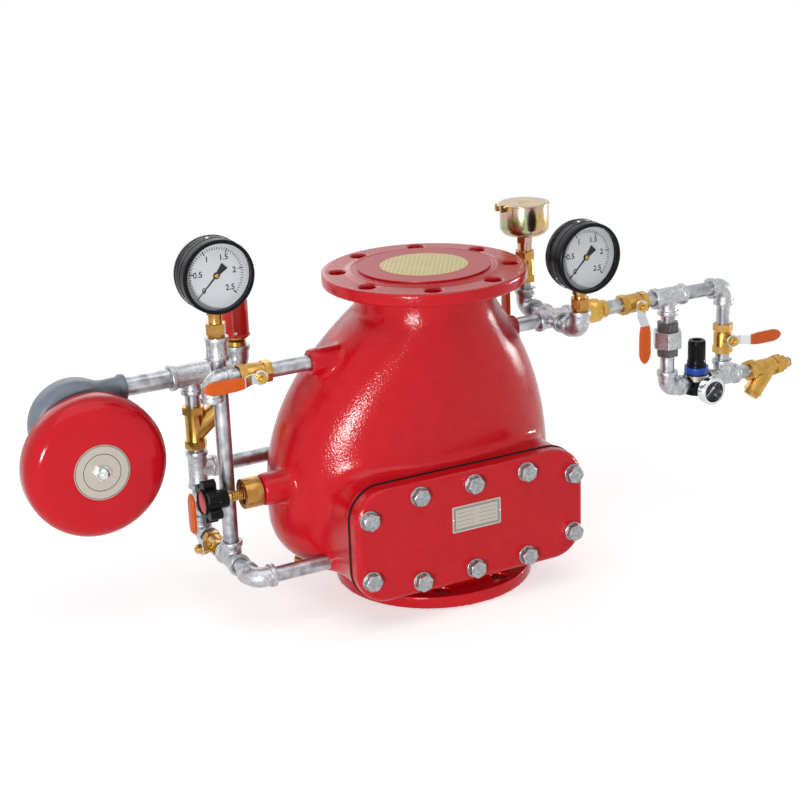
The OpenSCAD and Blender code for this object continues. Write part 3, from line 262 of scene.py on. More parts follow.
# Epoxy powder on cast iron: a deep gloss red whose highlights break up over the sand's texture.
RED_COAT = Finish(
    "red_epoxy_on_cast_iron", "#c20a19", "#ca101d", Pattern.PEBBLED, 2.8, 0.16, 0.03, bump_mm=0.46, ior=1.34
)
# Enamel on a pressed bell: smoother and a little brighter than the casting.
BELL_COAT = Finish(
    "red_enamel_on_pressed_steel", "#c3101d", "#ca1521",
    Pattern.MOULDED, 9.0, 0.12, 0.02, bump_mm=0.03, ior=1.3,
)
# Stove enamel on the switch's cover: orange red, even.
SWITCH_COAT = Finish(
    "red_stove_enamel", "#cc1f17", "#d4291d", Pattern.MOULDED, 3.0, 0.25, 0.03, bump_mm=0.01, ior=1.4
)
# Hammered grey paint on cast aluminium: soft blue grey with a blurred shine.
GREY_COAT = Finish(
    "grey_paint_on_cast_aluminium", "#707883", "#7b8490",
    Pattern.PEBBLED, 4.0, 0.36, 0.05, bump_mm=0.15, ior=1.4,
)
# Hot dip galvanised malleable iron: pale grey crystals, dull patches and a rough cast skin.
ZINC_FITTING = Finish(
    "galvanised_malleable_iron", "#a6a8ac", "#c5c7cb", Pattern.SPANGLED, 1.2, 0.38, 0.08, 0.95, bump_mm=0.12
)
# Galvanised welded pipe: stains and dull streaks on a bright skin.
ZINC_PIPE = Finish(
    "galvanised_steel_pipe", "#8f9195", "#c8cbd0", Pattern.DRAWN, 2.2, 0.34, 0.08, 0.95, bump_mm=0.07
)
# Zinc plated bolts: light grey with a satin shine.
ZINC_BOLT = Finish(
    "zinc_plated_steel", "#8f9396", "#b1b4b6", Pattern.FORGED, 1.4, 0.36, 0.07, 0.85, bump_mm=0.04
)
# Black iron union ends, dull and dark.
DARK_IRON = Finish(
    "oiled_malleable_iron", "#575656", "#706f70", Pattern.SPANGLED, 1.6, 0.45, 0.08, 0.9, bump_mm=0.1
)
# Nickel plated lever steel: bright with a faint grain.
LEVER_STEEL = Finish(
    "nickel_plated_steel", "#bfc2c3", "#d3d5d5", Pattern.BRUSHED, 2.5, 0.24, 0.06, 1.0, bump_mm=0.01
)
# Bright chrome: almost a mirror.
CHROME = Finish("bright_chrome", "#cfd2d4", "#e2e4e5", Pattern.MOULDED, 4.0, 0.1, 0.03, 1.0, bump_mm=0.004)
# Forged brass: warm yellow, shot blasted skin with a faint stain.
BRASS = Finish("forged_brass", "#b58a42", "#c8a05a", Pattern.MOULDED, 1.3, 0.3, 0.05, 1.0, bump_mm=0.07)
# Turned brass: cleaner and more gold than the forged skin.
GOLD_BRASS = Finish(
    "turned_brass", "#c09646", "#d3ae5e", Pattern.MOULDED, 1.5, 0.22, 0.04, 1.0, bump_mm=0.015
)
# Turned gunmetal: brown yellow, duller.
GUNMETAL = Finish(
    "turned_gunmetal", "#a97b3f", "#c09150", Pattern.MOULDED, 1.6, 0.27, 0.05, 1.0, bump_mm=0.03
)
# Yellow passivated zinc on spun steel: mirror bright with bands of gold, pink and green.
PASSIVATED = Finish(
    "yellow_passivated_zinc", "#a5874a", "#93906a", Pattern.PASSIVATED, 5.0, 0.19, 0.04, 1.0, bump_mm=0.006
)
# Nitrile sheet: matt black.
RUBBER = Finish(
    "nitrile_sheet", "#08080a", "#101012", Pattern.MOULDED, 0.8, 0.75, 0.08, bump_mm=0.03, ior=1.3
)
# Black painted steel of the gauge cases: satin, almost smooth.
BLACK_CASE = Finish(
    "black_enamel_on_steel", "#0a0b10", "#101117", Pattern.MOULDED, 1.2, 0.3, 0.04, bump_mm=0.012, ior=1.22
)
# Moulded nylon: black with a fine spark eroded grain.
BLACK_NYLON = Finish(
    "moulded_black_nylon", "#08090a", "#0e0f11", Pattern.MOULDED, 0.7, 0.28, 0.05, bump_mm=0.02, ior=1.22
)
# Dipped vinyl sleeve: orange red, soft gloss.
ORANGE_VINYL = Finish(
    "dipped_orange_vinyl", "#d0560f", "#d85f16", Pattern.MOULDED, 1.6, 0.34, 0.05, bump_mm=0.03, ior=1.4
)
# Acetal ring: saturated blue, waxy.
BLUE_ACETAL = Finish(
    "moulded_blue_acetal", "#16439c", "#1b4dac", Pattern.MOULDED, 1.2, 0.3, 0.05, bump_mm=0.01, ior=1.4
)
# White enamel dial: flat and even.
DIAL_WHITE = Finish("white_enamel_dial", "#e4e9ee", "#ebeff3", Pattern.MOULDED, 2.0, 0.5, 0.03, bump_mm=0.002)
# Dark dial of the small gauge.
DIAL_DARK = Finish("black_enamel_dial", "#1a1d21", "#23272b", Pattern.MOULDED, 2.0, 0.45, 0.03, bump_mm=0.002)
# Printing ink: black on the white dials and on the plates, white on the dark dial.
INK = Finish("black_dial_ink", "#0c0d10", "#121316", Pattern.MOULDED, 2.0, 0.55, 0.02, bump_mm=0.001)
PALE_INK = Finish("white_dial_ink", "#e6e9ea", "#eff1f1", Pattern.MOULDED, 2.0, 0.55, 0.02, bump_mm=0.001)
# Clear glass: only a trace of its shine shows over the dial.
CLEAR_GLASS = Finish(
    "clear_gauge_glass", "#0c1114", "#10161a", Pattern.MOULDED, 5.0, 0.04, 0.01, bump_mm=0.0, alpha=0.05
)
# Rolled aluminium plate: pale, with lines along it.
PLATE_ALUMINIUM = Finish(
    "rolled_aluminium_plate", "#b3aca0", "#cdc7bc", Pattern.BRUSHED, 3.0, 0.4, 0.08, 0.6, bump_mm=0.01
)
# Printed transport disc: red film, and a gold middle with a crossing hatch.
RED_FILM = Finish(
    "printed_red_film", "#b90f1c", "#c21623", Pattern.MOULDED, 3.0, 0.3, 0.03, bump_mm=0.01, ior=1.36
)
GOLD_HATCH = Finish(
    "printed_gold_film", "#bda243", "#f0e7b4", Pattern.HATCHED, 24.0, 0.34, 0.04, 0.2, bump_mm=0.004
)

NODE_FINISH: dict[str, tuple[Finish, float]] = {
    "valve_body": (RED_COAT, 0.0),
    "inspection_cover": (RED_COAT, 0.0),
    "cover_gasket": (RUBBER, 0.0),
    "cover_bolts": (ZINC_BOLT, 0.0),
    "data_plate": (PLATE_ALUMINIUM, 0.15),
    "outlet_cover": (RED_FILM, 0.4),
    "seat_ring": (GOLD_BRASS, 0.5),
    "hinge_pin": (LEVER_STEEL, 0.5),
    "clapper": (GUNMETAL, 0.8),
    "clapper_seal": (RUBBER, 0.5),
    "drain_bonnet": (GUNMETAL, 0.8),
    "drain_disc": (BRASS, 0.3),
    "drain_stem": (GOLD_BRASS, 0.3),
    "drain_knob": (BLACK_NYLON, 1.6),
    "pipes": (ZINC_PIPE, 0.0),
    "elbows": (ZINC_FITTING, 1.2),
    "tees": (ZINC_FITTING, 1.2),
    "riser_coupling": (ZINC_FITTING, 1.0),
    "ball_valves": (BRASS, 0.7),
    "strainers": (BRASS, 0.7),
    "gauge_connectors": (GUNMETAL, 0.6),
    "gauge_cases": (BLACK_CASE, 0.6),
    "gauge_dials": (DIAL_WHITE, 0.0),
    "gauge_glasses": (CLEAR_GLASS, 0.0),
    "left_needle": (INK, 0.0),
    "right_needle": (INK, 0.0),
    "mini_needle": (PALE_INK, 0.0),
    "mini_gauge_case": (CHROME, 0.5),
    "switch_base": (BRASS, 0.5),
    "switch_cover": (SWITCH_COAT, 0.8),
    "motor_housing": (GREY_COAT, 0.0),
    "gong_rotor": (LEVER_STEEL, 0.4),
    "gong_spindle": (CHROME, 0.4),
    "gong_bell": (BELL_COAT, 0.5),
    "gong_plate": (PLATE_ALUMINIUM, 0.2),
    "check_valve": (GOLD_BRASS, 1.0),
    "union_nut": (ZINC_FITTING, 1.2),
    "union_ends": (DARK_IRON, 0.8),
    "regulator_body": (BLACK_NYLON, 1.0),
    "regulator_ring": (BLUE_ACETAL, 0.6),
    "regulator_knob": (BLACK_NYLON, 0.4),
    "air_inlet": (BRASS, 0.5),
    "fill_cup": (PASSIVATED, 0.3),
    "cup_lid": (PASSIVATED, 0.4),
}
HANDLES = ("level", "test", "fill", "air", "bypass")
for _handle in HANDLES:
    NODE_FINISH[f"{_handle}_stem"] = (GOLD_BRASS, 0.4)
    NODE_FINISH[f"{_handle}_lever"] = (LEVER_STEEL, 0.5)
    NODE_FINISH[f"{_handle}_grip"] = (ORANGE_VINYL, 2.0)


def set_finish(obj: bpy.types.Object, finish: Finish) -> None:
    """Gives every face of a piece one finish."""
    obj.data.materials.clear()
    obj.data.materials.append(finish.material())


def soften(obj: bpy.types.Object, width_mm: float, angle: float = 35.0) -> None:
    """Joins a piece's doubled points and rounds its sharp edges.

    Args:
        obj: The piece.
        width_mm: Width of the rounding; 0 leaves the edges sharp.
        angle: Edges sharper than this many degrees are rounded.
    """
    weld = obj.modifiers.new("weld", "WELD")
    weld.merge_threshold = WELD_MM * MM
    if width_mm > 0:
        bevel = obj.modifiers.new("edges", "BEVEL")
        bevel.width = width_mm * MM
        bevel.segments = BEVEL_STEPS
        bevel.limit_method = "ANGLE"
        bevel.angle_limit = math.radians(angle)
        bevel.harden_normals = False


def new_piece(name: str, mesh: bpy.types.Mesh, finish: Finish, body: str = FIXED) -> bpy.types.Object:
    """Links a mesh as a piece of the object.

    Args:
        name: Name of the piece.
        mesh: Its mesh, in metres in the object's frame.
        finish: Its finish.
        body: The body it moves with.

    Returns:
        The new object.
    """
    obj = bpy.data.objects.new(name, mesh)
    bpy.context.scene.collection.objects.link(obj)
    set_finish(obj, finish)
    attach(obj, body)
    LOG.info("piece %s: %d faces, rides on %s", name, len(mesh.polygons), body)
    return obj


def frame_at(place: Point, axis: Point, along: Point = (0.0, 0.0, 1.0)) -> Matrix:
    """Makes a frame in metres from a place in millimetres.

    Args:
        place: Origin of the frame, in millimetres.
        axis: Direction of its Z axis.
        along: Direction near its X axis.

    Returns:
        The matrix from the frame to the object's frame.
    """
    z = Vector(axis).normalized()
    x = Vector(along) - Vector(along).dot(z) * z
    if x.length < 1e-6:
        x = z.orthogonal()
    x.normalize()
    y = z.cross(x)
    rows = [[x[i], y[i], z[i], place[i] * MM] for i in range(3)]
    return Matrix([*rows, [0.0, 0.0, 0.0, 1.0]])


def lathe(bm: bmesh.types.BMesh, profile: Profile, frame: Matrix, steps: int = 48) -> None:
    """Adds a turned form to a mesh.

    Args:
        bm: The mesh under way.
        profile: Radius and height pairs in millimetres, from bottom to top.
        frame: Where it stands; its Z axis is the axis of the turning.
        steps: Faces round the form.
    """
    rings: list[list[bmesh.types.BMVert]] = []
    for radius, height in profile:
        if radius < 1e-6:
            rings.append([bm.verts.new(frame @ Vector((0.0, 0.0, height * MM)))])
            continue
        ring = []
        for i in range(steps):
            turn = 2 * math.pi * i / steps
            point = Vector((radius * math.cos(turn), radius * math.sin(turn), height)) * MM
            ring.append(bm.verts.new(frame @ point))
        rings.append(ring)
    for low, high in zip(rings, rings[1:]):
        for i in range(steps):
            j = (i + 1) % steps
            corners = [low[i % len(low)], low[j % len(low)], high[j % len(high)], high[i % len(high)]]
            unique = list(dict.fromkeys(corners))
            if len(unique) > 2:
                bm.faces.new(unique)


def hex_head(bm: bmesh.types.BMesh, flats: float, height: float, frame: Matrix) -> None:
    """Adds a hexagon head with a turned chamfer on top.

    Args:
        bm: The mesh under way.
        flats: Width across the flats, in millimetres.
        height: Height of the head, in millimetres.
        frame: Where its foot stands; its Z axis points up through the head.
    """
    steps = HEAD_STEPS
    foot, edge, crown = [], [], []
    crown_r = flats * CROWN_SHARE
    for i in range(steps):
        turn = 2 * math.pi * i / steps
        off = (turn % (math.pi / 3)) - math.pi / 6
        reach = flats / 2 / math.cos(off)
        drop = max(0.0, reach - crown_r) * math.tan(math.radians(CHAMFER_DEG))
        way = Vector((math.cos(turn), math.sin(turn), 0.0))
        foot.append(bm.verts.new(frame @ (way * reach * MM)))
        edge.append(bm.verts.new(frame @ ((way * reach + Vector((0, 0, height - drop))) * MM)))
        crown.append(bm.verts.new(frame @ ((way * crown_r + Vector((0, 0, height))) * MM)))
    for i in range(steps):
        j = (i + 1) % steps
        bm.faces.new((foot[i], foot[j], edge[j], edge[i]))
        bm.faces.new((edge[i], edge[j], crown[j], crown[i]))
    bm.faces.new(crown)


def finish_mesh(bm: bmesh.types.BMesh, name: str, smooth: float = 35.0) -> bpy.types.Mesh:
    """Turns a mesh under way into a mesh with smooth rounds and sharp edges.

    Args:
        bm: The mesh under way, which is freed.
        name: Name of the mesh.
        smooth: Edges sharper than this many degrees stay sharp.

    Returns:
        The finished mesh.
    """
    bmesh.ops.recalc_face_normals(bm, faces=bm.faces)
    for face in bm.faces:
        face.smooth = True
    for edge in bm.edges:
        edge.smooth = not (edge.is_manifold and edge.calc_face_angle(0.0) > math.radians(smooth))
    mesh = bpy.data.meshes.new(name)
    bm.to_mesh(mesh)
    bm.free()
    return mesh


@dataclass
class Casting:
    """The red body, whose sharp joins are blended as a founder's pattern blends them."""

    node: str = "valve_body"
    name: str = "casting"
    finish: Finish = RED_COAT
    slot: str = "red_paint"
    voxel_mm: float = 2.2
    blend_passes: int = 24
    crease_passes: int = 220
    edge_passes: int = 3
    foot_top_mm: float = 26.0
    flange_low_mm: float = 428.0
    face_y_mm: float = -113.0
    foot_fade_mm: float = 10.0
    flange_fade_mm: float = 6.0
    face_fade_mm: float = 6.0
    side_x_mm: float = -20.0
    side_fade_mm: float = 70.0
    side_least: float = 0.12
    crease_y_mm: float = -40.0
    crease_fade_mm: float = 20.0
    pull: float = 0.5

    def build(self, nodes: dict[str, bpy.types.Object]) -> bpy.types.Object:
        """Makes the blended casting in place of the plain solid.

        Args:
            nodes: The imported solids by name.

        Returns:
            The new piece.
        """
        source = nodes[self.node]
        copy = bpy.data.objects.new(f"{self.name}_source", source.data.copy())
        bpy.context.scene.collection.objects.link(copy)
        remesh = copy.modifiers.new("remesh", "REMESH")
        remesh.mode = "VOXEL"
        remesh.voxel_size = self.voxel_mm * MM
        graph = bpy.context.evaluated_depsgraph_get()
        mesh = bpy.data.meshes.new_from_object(copy.evaluated_get(graph))
        bpy.data.objects.remove(copy)
        mesh.name = self.name
        self._blend(mesh)
        mesh.shade_smooth()
        piece = new_piece(self.name, mesh, self.finish)
        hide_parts(self.node)
        return piece

    def _weights(self, points: np.ndarray) -> tuple[np.ndarray, np.ndarray]:
        """Says how far each point is blended.

        Args:
            points: The mesh's points in metres.

        Returns:
            Shares for the general blend and for the joins beside the front frame.
        """
        x, y, z = (points / MM).T
        low = np.clip((z - self.foot_top_mm) / self.foot_fade_mm, 0, 1)
        high = np.clip((self.flange_low_mm - z) / self.flange_fade_mm, 0, 1)
        weight = low * high * np.clip((y - self.face_y_mm) / self.face_fade_mm, 0, 1)
        side = np.clip((self.side_x_mm - x) / self.side_fade_mm, self.side_least, 1)
        return weight, weight * side * np.clip((self.crease_y_mm - y) / self.crease_fade_mm, 0, 1)

    def _blend(self, mesh: bpy.types.Mesh) -> None:
        """Smooths the cast skin, and only eases the machined edges."""
        count = len(mesh.vertices)
        points = np.zeros(count * 3, np.float64)
        mesh.vertices.foreach_get("co", points)
        points = points.reshape(-1, 3)
        edges = np.zeros(len(mesh.edges) * 2, np.int64)
        mesh.edges.foreach_get("vertices", edges)
        edges = edges.reshape(-1, 2)
        near = np.bincount(edges.ravel(), minlength=count).astype(float)
        weight, crease = self._weights(points)
        first, second = edges[:, 0], edges[:, 1]
        for step in range(self.blend_passes + self.crease_passes):
            share = np.full(count, self.pull)
            if step >= self.edge_passes:
                share = self.pull * (weight if step < self.blend_passes else crease)
            for axis in range(3):
                value = points[:, axis]
                total = np.bincount(first, value[second], count) + np.bincount(second, value[first], count)
                points[:, axis] = value + share * (total / near - value)
        mesh.vertices.foreach_set("co", points.ravel())
        mesh.update()


@dataclass
class MotorCasting(Casting):
    """The grey motor housing, whose round scroll runs into the boss of the pipe."""

    node: str = "motor_housing"
    name: str = "motor_casting"
    finish: Finish = GREY_COAT
    slot: str = "grey_paint"
    voxel_mm: float = 1.6
    blend_passes: int = 44
    crease_passes: int = 0
    collar_x_mm: float = -414.0
    collar_fade_mm: float = 12.0

    def _weights(self, points: np.ndarray) -> tuple[np.ndarray, np.ndarray]:
        """Says how far each point is blended: all but the collar that takes the pipe.

        Args:
            points: The mesh's points in metres.

        Returns:
            The same share twice, because the housing has no front frame.
        """
        weight = np.clip((self.collar_x_mm - points[:, 0] / MM) / self.collar_fade_mm, 0, 1)
        return weight, weight


@dataclass
class CoverBolts:
    """Ten hexagon bolts with washers on the access cover."""

    middle: Point = (-12.0, -145.5, 122.0)
    pitch: float = 83.5
    high: float = 62.4
    end_x: float = 159.5
    end_z: float = 43.8
    flats: float = 22.0
    head: float = 9.0
    washer_r: float = 13.5
    washer_t: float = 2.5
    first_turn: float = 15.0
    next_turn: float = 37.0

    def places(self) -> list[tuple[float, float]]:
        """Gives each bolt's place on the cover, from its middle."""
        rows = [(sx * self.pitch, sz * self.high) for sx in (-1, 0, 1) for sz in (-1, 1)]
        return rows + [(sx * self.end_x, sz * self.end_z) for sx in (-1, 1) for sz in (-1, 1)]

    def build(self) -> bpy.types.Object:
        """Makes washers and chamfered heads in place of the plain ones."""
        bm = bmesh.new()
        for number, (dx, dz) in enumerate(self.places()):
            place = (self.middle[0] + dx, self.middle[1], self.middle[2] + dz)
            turn = math.radians(self.first_turn + self.next_turn * number)
            seat = frame_at(place, (0, -1, 0), (math.cos(turn), 0, math.sin(turn)))
            rim, thick = self.washer_r, self.washer_t
            lathe(bm, ((rim - 1, 0), (rim, 0.4), (rim, thick - 0.5), (rim - 0.5, thick), (0, thick)), seat)
            hex_head(bm, self.flats, self.head, seat @ Matrix.Translation((0, 0, thick * MM)))
        piece = new_piece("cover_bolt_heads", finish_mesh(bm, "cover_bolt_heads", 25.0), ZINC_BOLT)
        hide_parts("cover_bolts")
        return piece


@dataclass
class Gauge:
    """Dial print, pin and case screws of a pressure gauge that faces the front."""

    name: str
    front: Point
    radius: float
    dial_depth: float
    needle_body: str
    ink: Finish
    labels: Sequence[str]
    minor: int = 50
    start: float = 225.0
    sweep: float = 270.0
    print_lift: float = 0.08
    tick_end: float = 0.77
    major_tick: tuple[float, float] = (0.12, 0.016)
    minor_tick: tuple[float, float] = (0.075, 0.0085)
    label_place: float = 0.52
    label_size: float = 0.22
    pin_share: float = 0.055
    pin_lift: float = 1.75
    screw_depth: float = 24.0
    screw_inset: float = 1.6

    def _at(self, turn: float, radius: float) -> Vector:
        """Gives a point of the print from its clock angle in degrees and its radius."""
        angle = math.radians(turn)
        x, y, z = self.front
        lift = y + self.dial_depth - self.print_lift
        return Vector((x + radius * math.cos(angle), lift, z + radius * math.sin(angle))) * MM

    def build(self) -> bpy.types.Object:
        """Prints ticks and numbers on the dial and adds the needle's pin."""
        bm = bmesh.new()
        outer = self.radius * self.tick_end
        steps = self.minor
        per_label = steps // max(1, len(self.labels) - 1)
        for i in range(steps + 1):
            turn = self.start - self.sweep * i / steps
            length, half_share = self.major_tick if i % per_label == 0 else self.minor_tick
            inner = outer - self.radius * length
            half = self.radius * half_share
            side = Vector((-math.sin(math.radians(turn)), 0, math.cos(math.radians(turn)))) * half * MM
            a, b = self._at(turn, inner), self._at(turn, outer)
            bm.faces.new([bm.verts.new(p) for p in (a - side, a + side, b + side, b - side)])
        for i, label in enumerate(self.labels):
            turn = self.start - self.sweep * i / (len(self.labels) - 1)
            middle = self._at(turn, self.radius * self.label_place)
            self._write(bm, label, middle, self.radius * self.label_size)
        piece = new_piece(f"{self.name}_print", finish_mesh(bm, f"{self.name}_print"), self.ink)
        self._pin()
        return piece

    def _write(self, bm: bmesh.types.BMesh, text: str, middle: Vector, size: float) -> None:
        """Writes one number upright on the dial.

        Args:
            bm: The mesh under way.
            text: The number.
            middle: Its middle, in metres.
            size: Height of the letters, in millimetres.
        """
        curve = bpy.data.curves.new("number", "FONT")
        curve.body = text
        curve.size = size * MM
        curve.align_x = "CENTER"
        curve.align_y = "CENTER"
        curve.resolution_u = 3
        curve.offset = size * 0.018 * MM
        holder = bpy.data.objects.new("number", curve)
        flat = bpy.data.meshes.new_from_object(holder)
        flat.transform(Matrix.Translation(middle) @ Matrix.Rotation(math.pi / 2, 4, "X"))
        bm.from_mesh(flat)
        bpy.data.objects.remove(holder)
        bpy.data.meshes.remove(flat)
        bpy.data.curves.remove(curve)

    def _pin(self) -> None:
        """Adds the brass cap on the needle's pin, which turns with it."""
        bm = bmesh.new()
        x, y, z = self.front
        r = self.radius * self.pin_share
        seat = frame_at((x, y + self.dial_depth - self.pin_lift, z), (0, -1, 0))
        lathe(bm, ((r, 0), (r, 0.5), (r * 0.7, 0.9), (0, 1.0)), seat, 24)
        name = f"{self.name}_pin_cap"
        cap = new_piece(name, finish_mesh(bm, name), GOLD_BRASS, self.needle_body)

    def seams(self, depths: Sequence[float]) -> None:
        """Adds the rolled rims of the case.

        Args:
            depths: Distance of each rim behind the front, in millimetres.
        """
        bm = bmesh.new()
        r = self.radius
        rim = ((r - 0.6, -1.6), (r + 0.1, -1.2), (r + 0.5, 0), (r + 0.1, 1.2), (r - 0.6, 1.6))
        for depth in depths:
            seat = frame_at((self.front[0], self.front[1] + depth, self.front[2]), (0, 1, 0))
            lathe(bm, rim, seat, 96)
        piece = new_piece(f"{self.name}_rims", finish_mesh(bm, f"{self.name}_rims", 80.0), BLACK_CASE)

    def screws(self, turns: Iterable[float]) -> None:
        """Adds small dome screws round the case.

        Args:
            turns: Clock angle of each screw, in degrees.
        """
        bm = bmesh.new()
        x, y, z = self.front
        for turn in turns:
            way = Vector((math.cos(math.radians(turn)), 0, math.sin(math.radians(turn))))
            place = Vector((x, y + self.screw_depth, z)) + way * (self.radius - self.screw_inset)
            seat = frame_at(tuple(place), tuple(way))
            lathe(bm, ((2.4, 0), (2.3, 0.7), (1.5, 1.4), (0, 1.7)), seat, 20)
        piece = new_piece(f"{self.name}_screws", finish_mesh(bm, f"{self.name}_screws"), CHROME)


@dataclass
class OutletDisc:
    """Printed middle of the transport disc, and the turned rings of the flange's face."""

    top: float = 458.5
    gold_r: float = 61.0
    face_z: float = 456.0
    ring_radii: Sequence[float] = (96.5, 101.5)
    gold_t: float = 0.15

    def build(self) -> None:
        """Makes the gold middle and the rings."""
        bm = bmesh.new()
        seat = frame_at((0, 0, self.top), (0, 0, 1), (1, 0, 0))
        lathe(bm, ((self.gold_r, 0.0), (self.gold_r, self.gold_t), (0, self.gold_t)), seat, 96)
        gold = new_piece("disc_middle", finish_mesh(bm, "disc_middle"), GOLD_HATCH)
        bm = bmesh.new()
        seat = frame_at((0, 0, self.face_z), (0, 0, 1), (1, 0, 0))
        for r in self.ring_radii:
            lathe(bm, ((r - 1.1, -0.2), (r - 0.6, 0.5), (r + 0.6, 0.5), (r + 1.1, -0.2)), seat, 128)
        rings = new_piece("face_rings", finish_mesh(bm, "face_rings", 60.0), RED_COAT)


@dataclass
class DrainValve:
    """Screw thread of the drain valve's stem, between its knob and its bonnet."""

    start_x: float = -285.0
    end_x: float = -312.0
    height: float = 180.0
    pitch: float = 3.4
    stem_r: float = 6.0
    crest: float = 1.4

    def build(self) -> bpy.types.Object:
        """Makes the thread as one ridge after another along the bare stem."""
        bm = bmesh.new()
        root, top = self.stem_r - 0.05, self.stem_r + self.crest
        for number in range(int((self.start_x - self.end_x) / self.pitch)):
            seat = frame_at((self.start_x - number * self.pitch, 0, self.height), (-1, 0, 0))
            lathe(bm, ((root, 0), (top - 0.3, 0.8), (top, 1.2), (top - 0.3, 1.6), (root, 2.4)), seat, 32)
        piece = new_piece("stem_thread", finish_mesh(bm, "stem_thread", 60.0), GUNMETAL, "drain_knob")
        return piece


@dataclass
class Grip:
    """The vinyl sleeve of one ball valve's lever, shaped like a leaf."""

    name: str
    valve: Point
    along: Point
    stem: Point
    start: float = 28.0
    end: float = 86.0
    width: float = 19.0
    thick: float = 7.4
    lift: float = 33.55
    sections: int = 22
    points: int = 24
    corner: float = 0.55
    tip: float = 0.997
    crowding: float = 1.5

    def half_width(self, u: float) -> float:
        """Gives half the sleeve's width at a share of its length."""
        if u < 0.7:
            return self.width / 2 * (0.8 + 0.2 * math.sin(math.pi / 2 * min(1.0, u / 0.3)))
        return self.width / 2 * max(0.0, 1 - ((u - 0.7) / 0.3) ** 2) ** 0.62

    def half_thick(self, u: float) -> float:
        """Gives half the sleeve's thickness at a share of its length."""
        tip = max(0.0, 1 - max(0.0, (u - 0.72) / 0.28) ** 2)
        return self.thick / 2 * tip**0.5 * min(1.0, 0.9 + u)

    def build(self) -> bpy.types.Object:
        """Lofts the sleeve through rounded sections in place of the plain one."""
        bm = bmesh.new()
        seat = frame_at(self.valve, self.stem, self.along)
        rings = []
        for i in range(self.sections):
            u = self.tip * (1 - (1 - i / (self.sections - 1)) ** self.crowding)
            ring = []
            for k in range(self.points):
                turn = 2 * math.pi * (k + 0.5) / self.points
                c, d = math.cos(turn), math.sin(turn)
                y = self.half_width(u) * math.copysign(abs(c) ** self.corner, c)
                z = self.lift + self.half_thick(u) * math.copysign(abs(d) ** self.corner, d)
                x = self.start + (self.end - self.start) * u
                ring.append(bm.verts.new(seat @ (Vector((x, y, z)) * MM)))
            rings.append(ring)
        for low, high in zip(rings, rings[1:]):
            for k in range(self.points):
                j = (k + 1) % self.points
                bm.faces.new((low[k], low[j], high[j], high[k]))
        bm.faces.new(rings[0])
        bm.faces.new(rings[-1])
        name = f"{self.name}_sleeve"
        piece = new_piece(name, finish_mesh(bm, name, 50.0), ORANGE_VINYL, f"{self.name}_handle")
        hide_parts(f"{self.name}_grip")
        return piece


@dataclass
class Plates:
    """Printed borders and ruled lines of the data plate, and the rings of the bell's plate."""

    data_middle: Point = (-8.0, -146.5, 137.0)
    data_size: tuple[float, float] = (76.0, 38.0)
    bell_middle: Point = (-465.0, 59.0, 229.0)
    bell_r: float = 39.0
    margin: float = 2.5
    ink_lift: float = 0.06
    line_rises: Sequence[float] = (9.0, 3.0, -3.0, -9.0)
    line_half: float = 0.2
    rivet_inset: float = 1.8

    def build(self) -> None:
        """Makes the borders, the lines, the two rings and the rivets."""
        bm = bmesh.new()
        x, y, z = self.data_middle
        ink_y = y - self.ink_lift
        half_w, half_h = (side / 2 - self.margin for side in self.data_size)
        for inset in (0.0, 1.6):
            corners = []
            for grow in (0.0, 0.7):
                w, h = half_w - inset - grow, half_h - inset - grow
                loop = ((-w, -h), (w, -h), (w, h), (-w, h))
                corners.append([bm.verts.new(Vector((x + a, ink_y, z + b)) * MM) for a, b in loop])
            for k in range(4):
                j = (k + 1) % 4
                bm.faces.new((corners[0][k], corners[0][j], corners[1][j], corners[1][k]))
        for rise in self.line_rises:
            for start, end in ((-half_w + 5, -4.0), (4.0, half_w - 5)):
                low, high = z + rise - self.line_half, z + rise + self.line_half
                loop = ((x + start, low), (x + end, low), (x + end, high), (x + start, high))
                bm.faces.new([bm.verts.new(Vector((a, ink_y, b)) * MM) for a, b in loop])
        for radius in (self.bell_r - 1.6, self.bell_r - 13.0):
            seat = frame_at(self.bell_middle, (0, -1, 0))
            lathe(bm, ((radius - 0.45, self.ink_lift), (radius + 0.45, self.ink_lift)), seat, 72)
        print_piece = new_piece("plate_borders", finish_mesh(bm, "plate_borders"), INK)
        bm = bmesh.new()
        for side in (-1, 1):
            seat = frame_at((x + side * (self.data_size[0] / 2 - self.rivet_inset), y, z), (0, -1, 0))
            lathe(bm, ((1.3, 0), (1.2, 0.5), (0.7, 0.9), (0, 1.0)), seat, 20)
        rivets = new_piece("plate_rivets", finish_mesh(bm, "plate_rivets"), LEVER_STEEL)


@dataclass
class Regulator:
    """Label band of the air regulator and the blue collar at the hose inlet."""

    middle: Point = (468.0, 0.0, 201.0)
    body_r: float = 19.0
    collar_x: float = 646.0
    band_rise: float = 5.0

    def build(self) -> None:
        """Makes the band and the collar."""
        bm = bmesh.new()
        r = self.body_r
        seat = frame_at((self.middle[0], self.middle[1], self.middle[2] + self.band_rise), (0, 0, 1))
        lathe(bm, ((r + 0.05, 0), (r + 0.3, 0.2), (r + 0.3, 8.3), (r + 0.05, 8.5)), seat, 64)
        band = new_piece("regulator_band", finish_mesh(bm, "regulator_band"), PLATE_ALUMINIUM)
        bm = bmesh.new()
        seat = frame_at((self.collar_x, 0, self.middle[2]), (1, 0, 0))
        lathe(bm, ((7.4, 0), (7.4, 0.2), (7.4, 2.2), (6.6, 3.0), (4.6, 3.0), (4.3, 2.6), (4.3, 0)), seat, 40)
        collar = new_piece("hose_collar", finish_mesh(bm, "hose_collar"), BLUE_ACETAL)


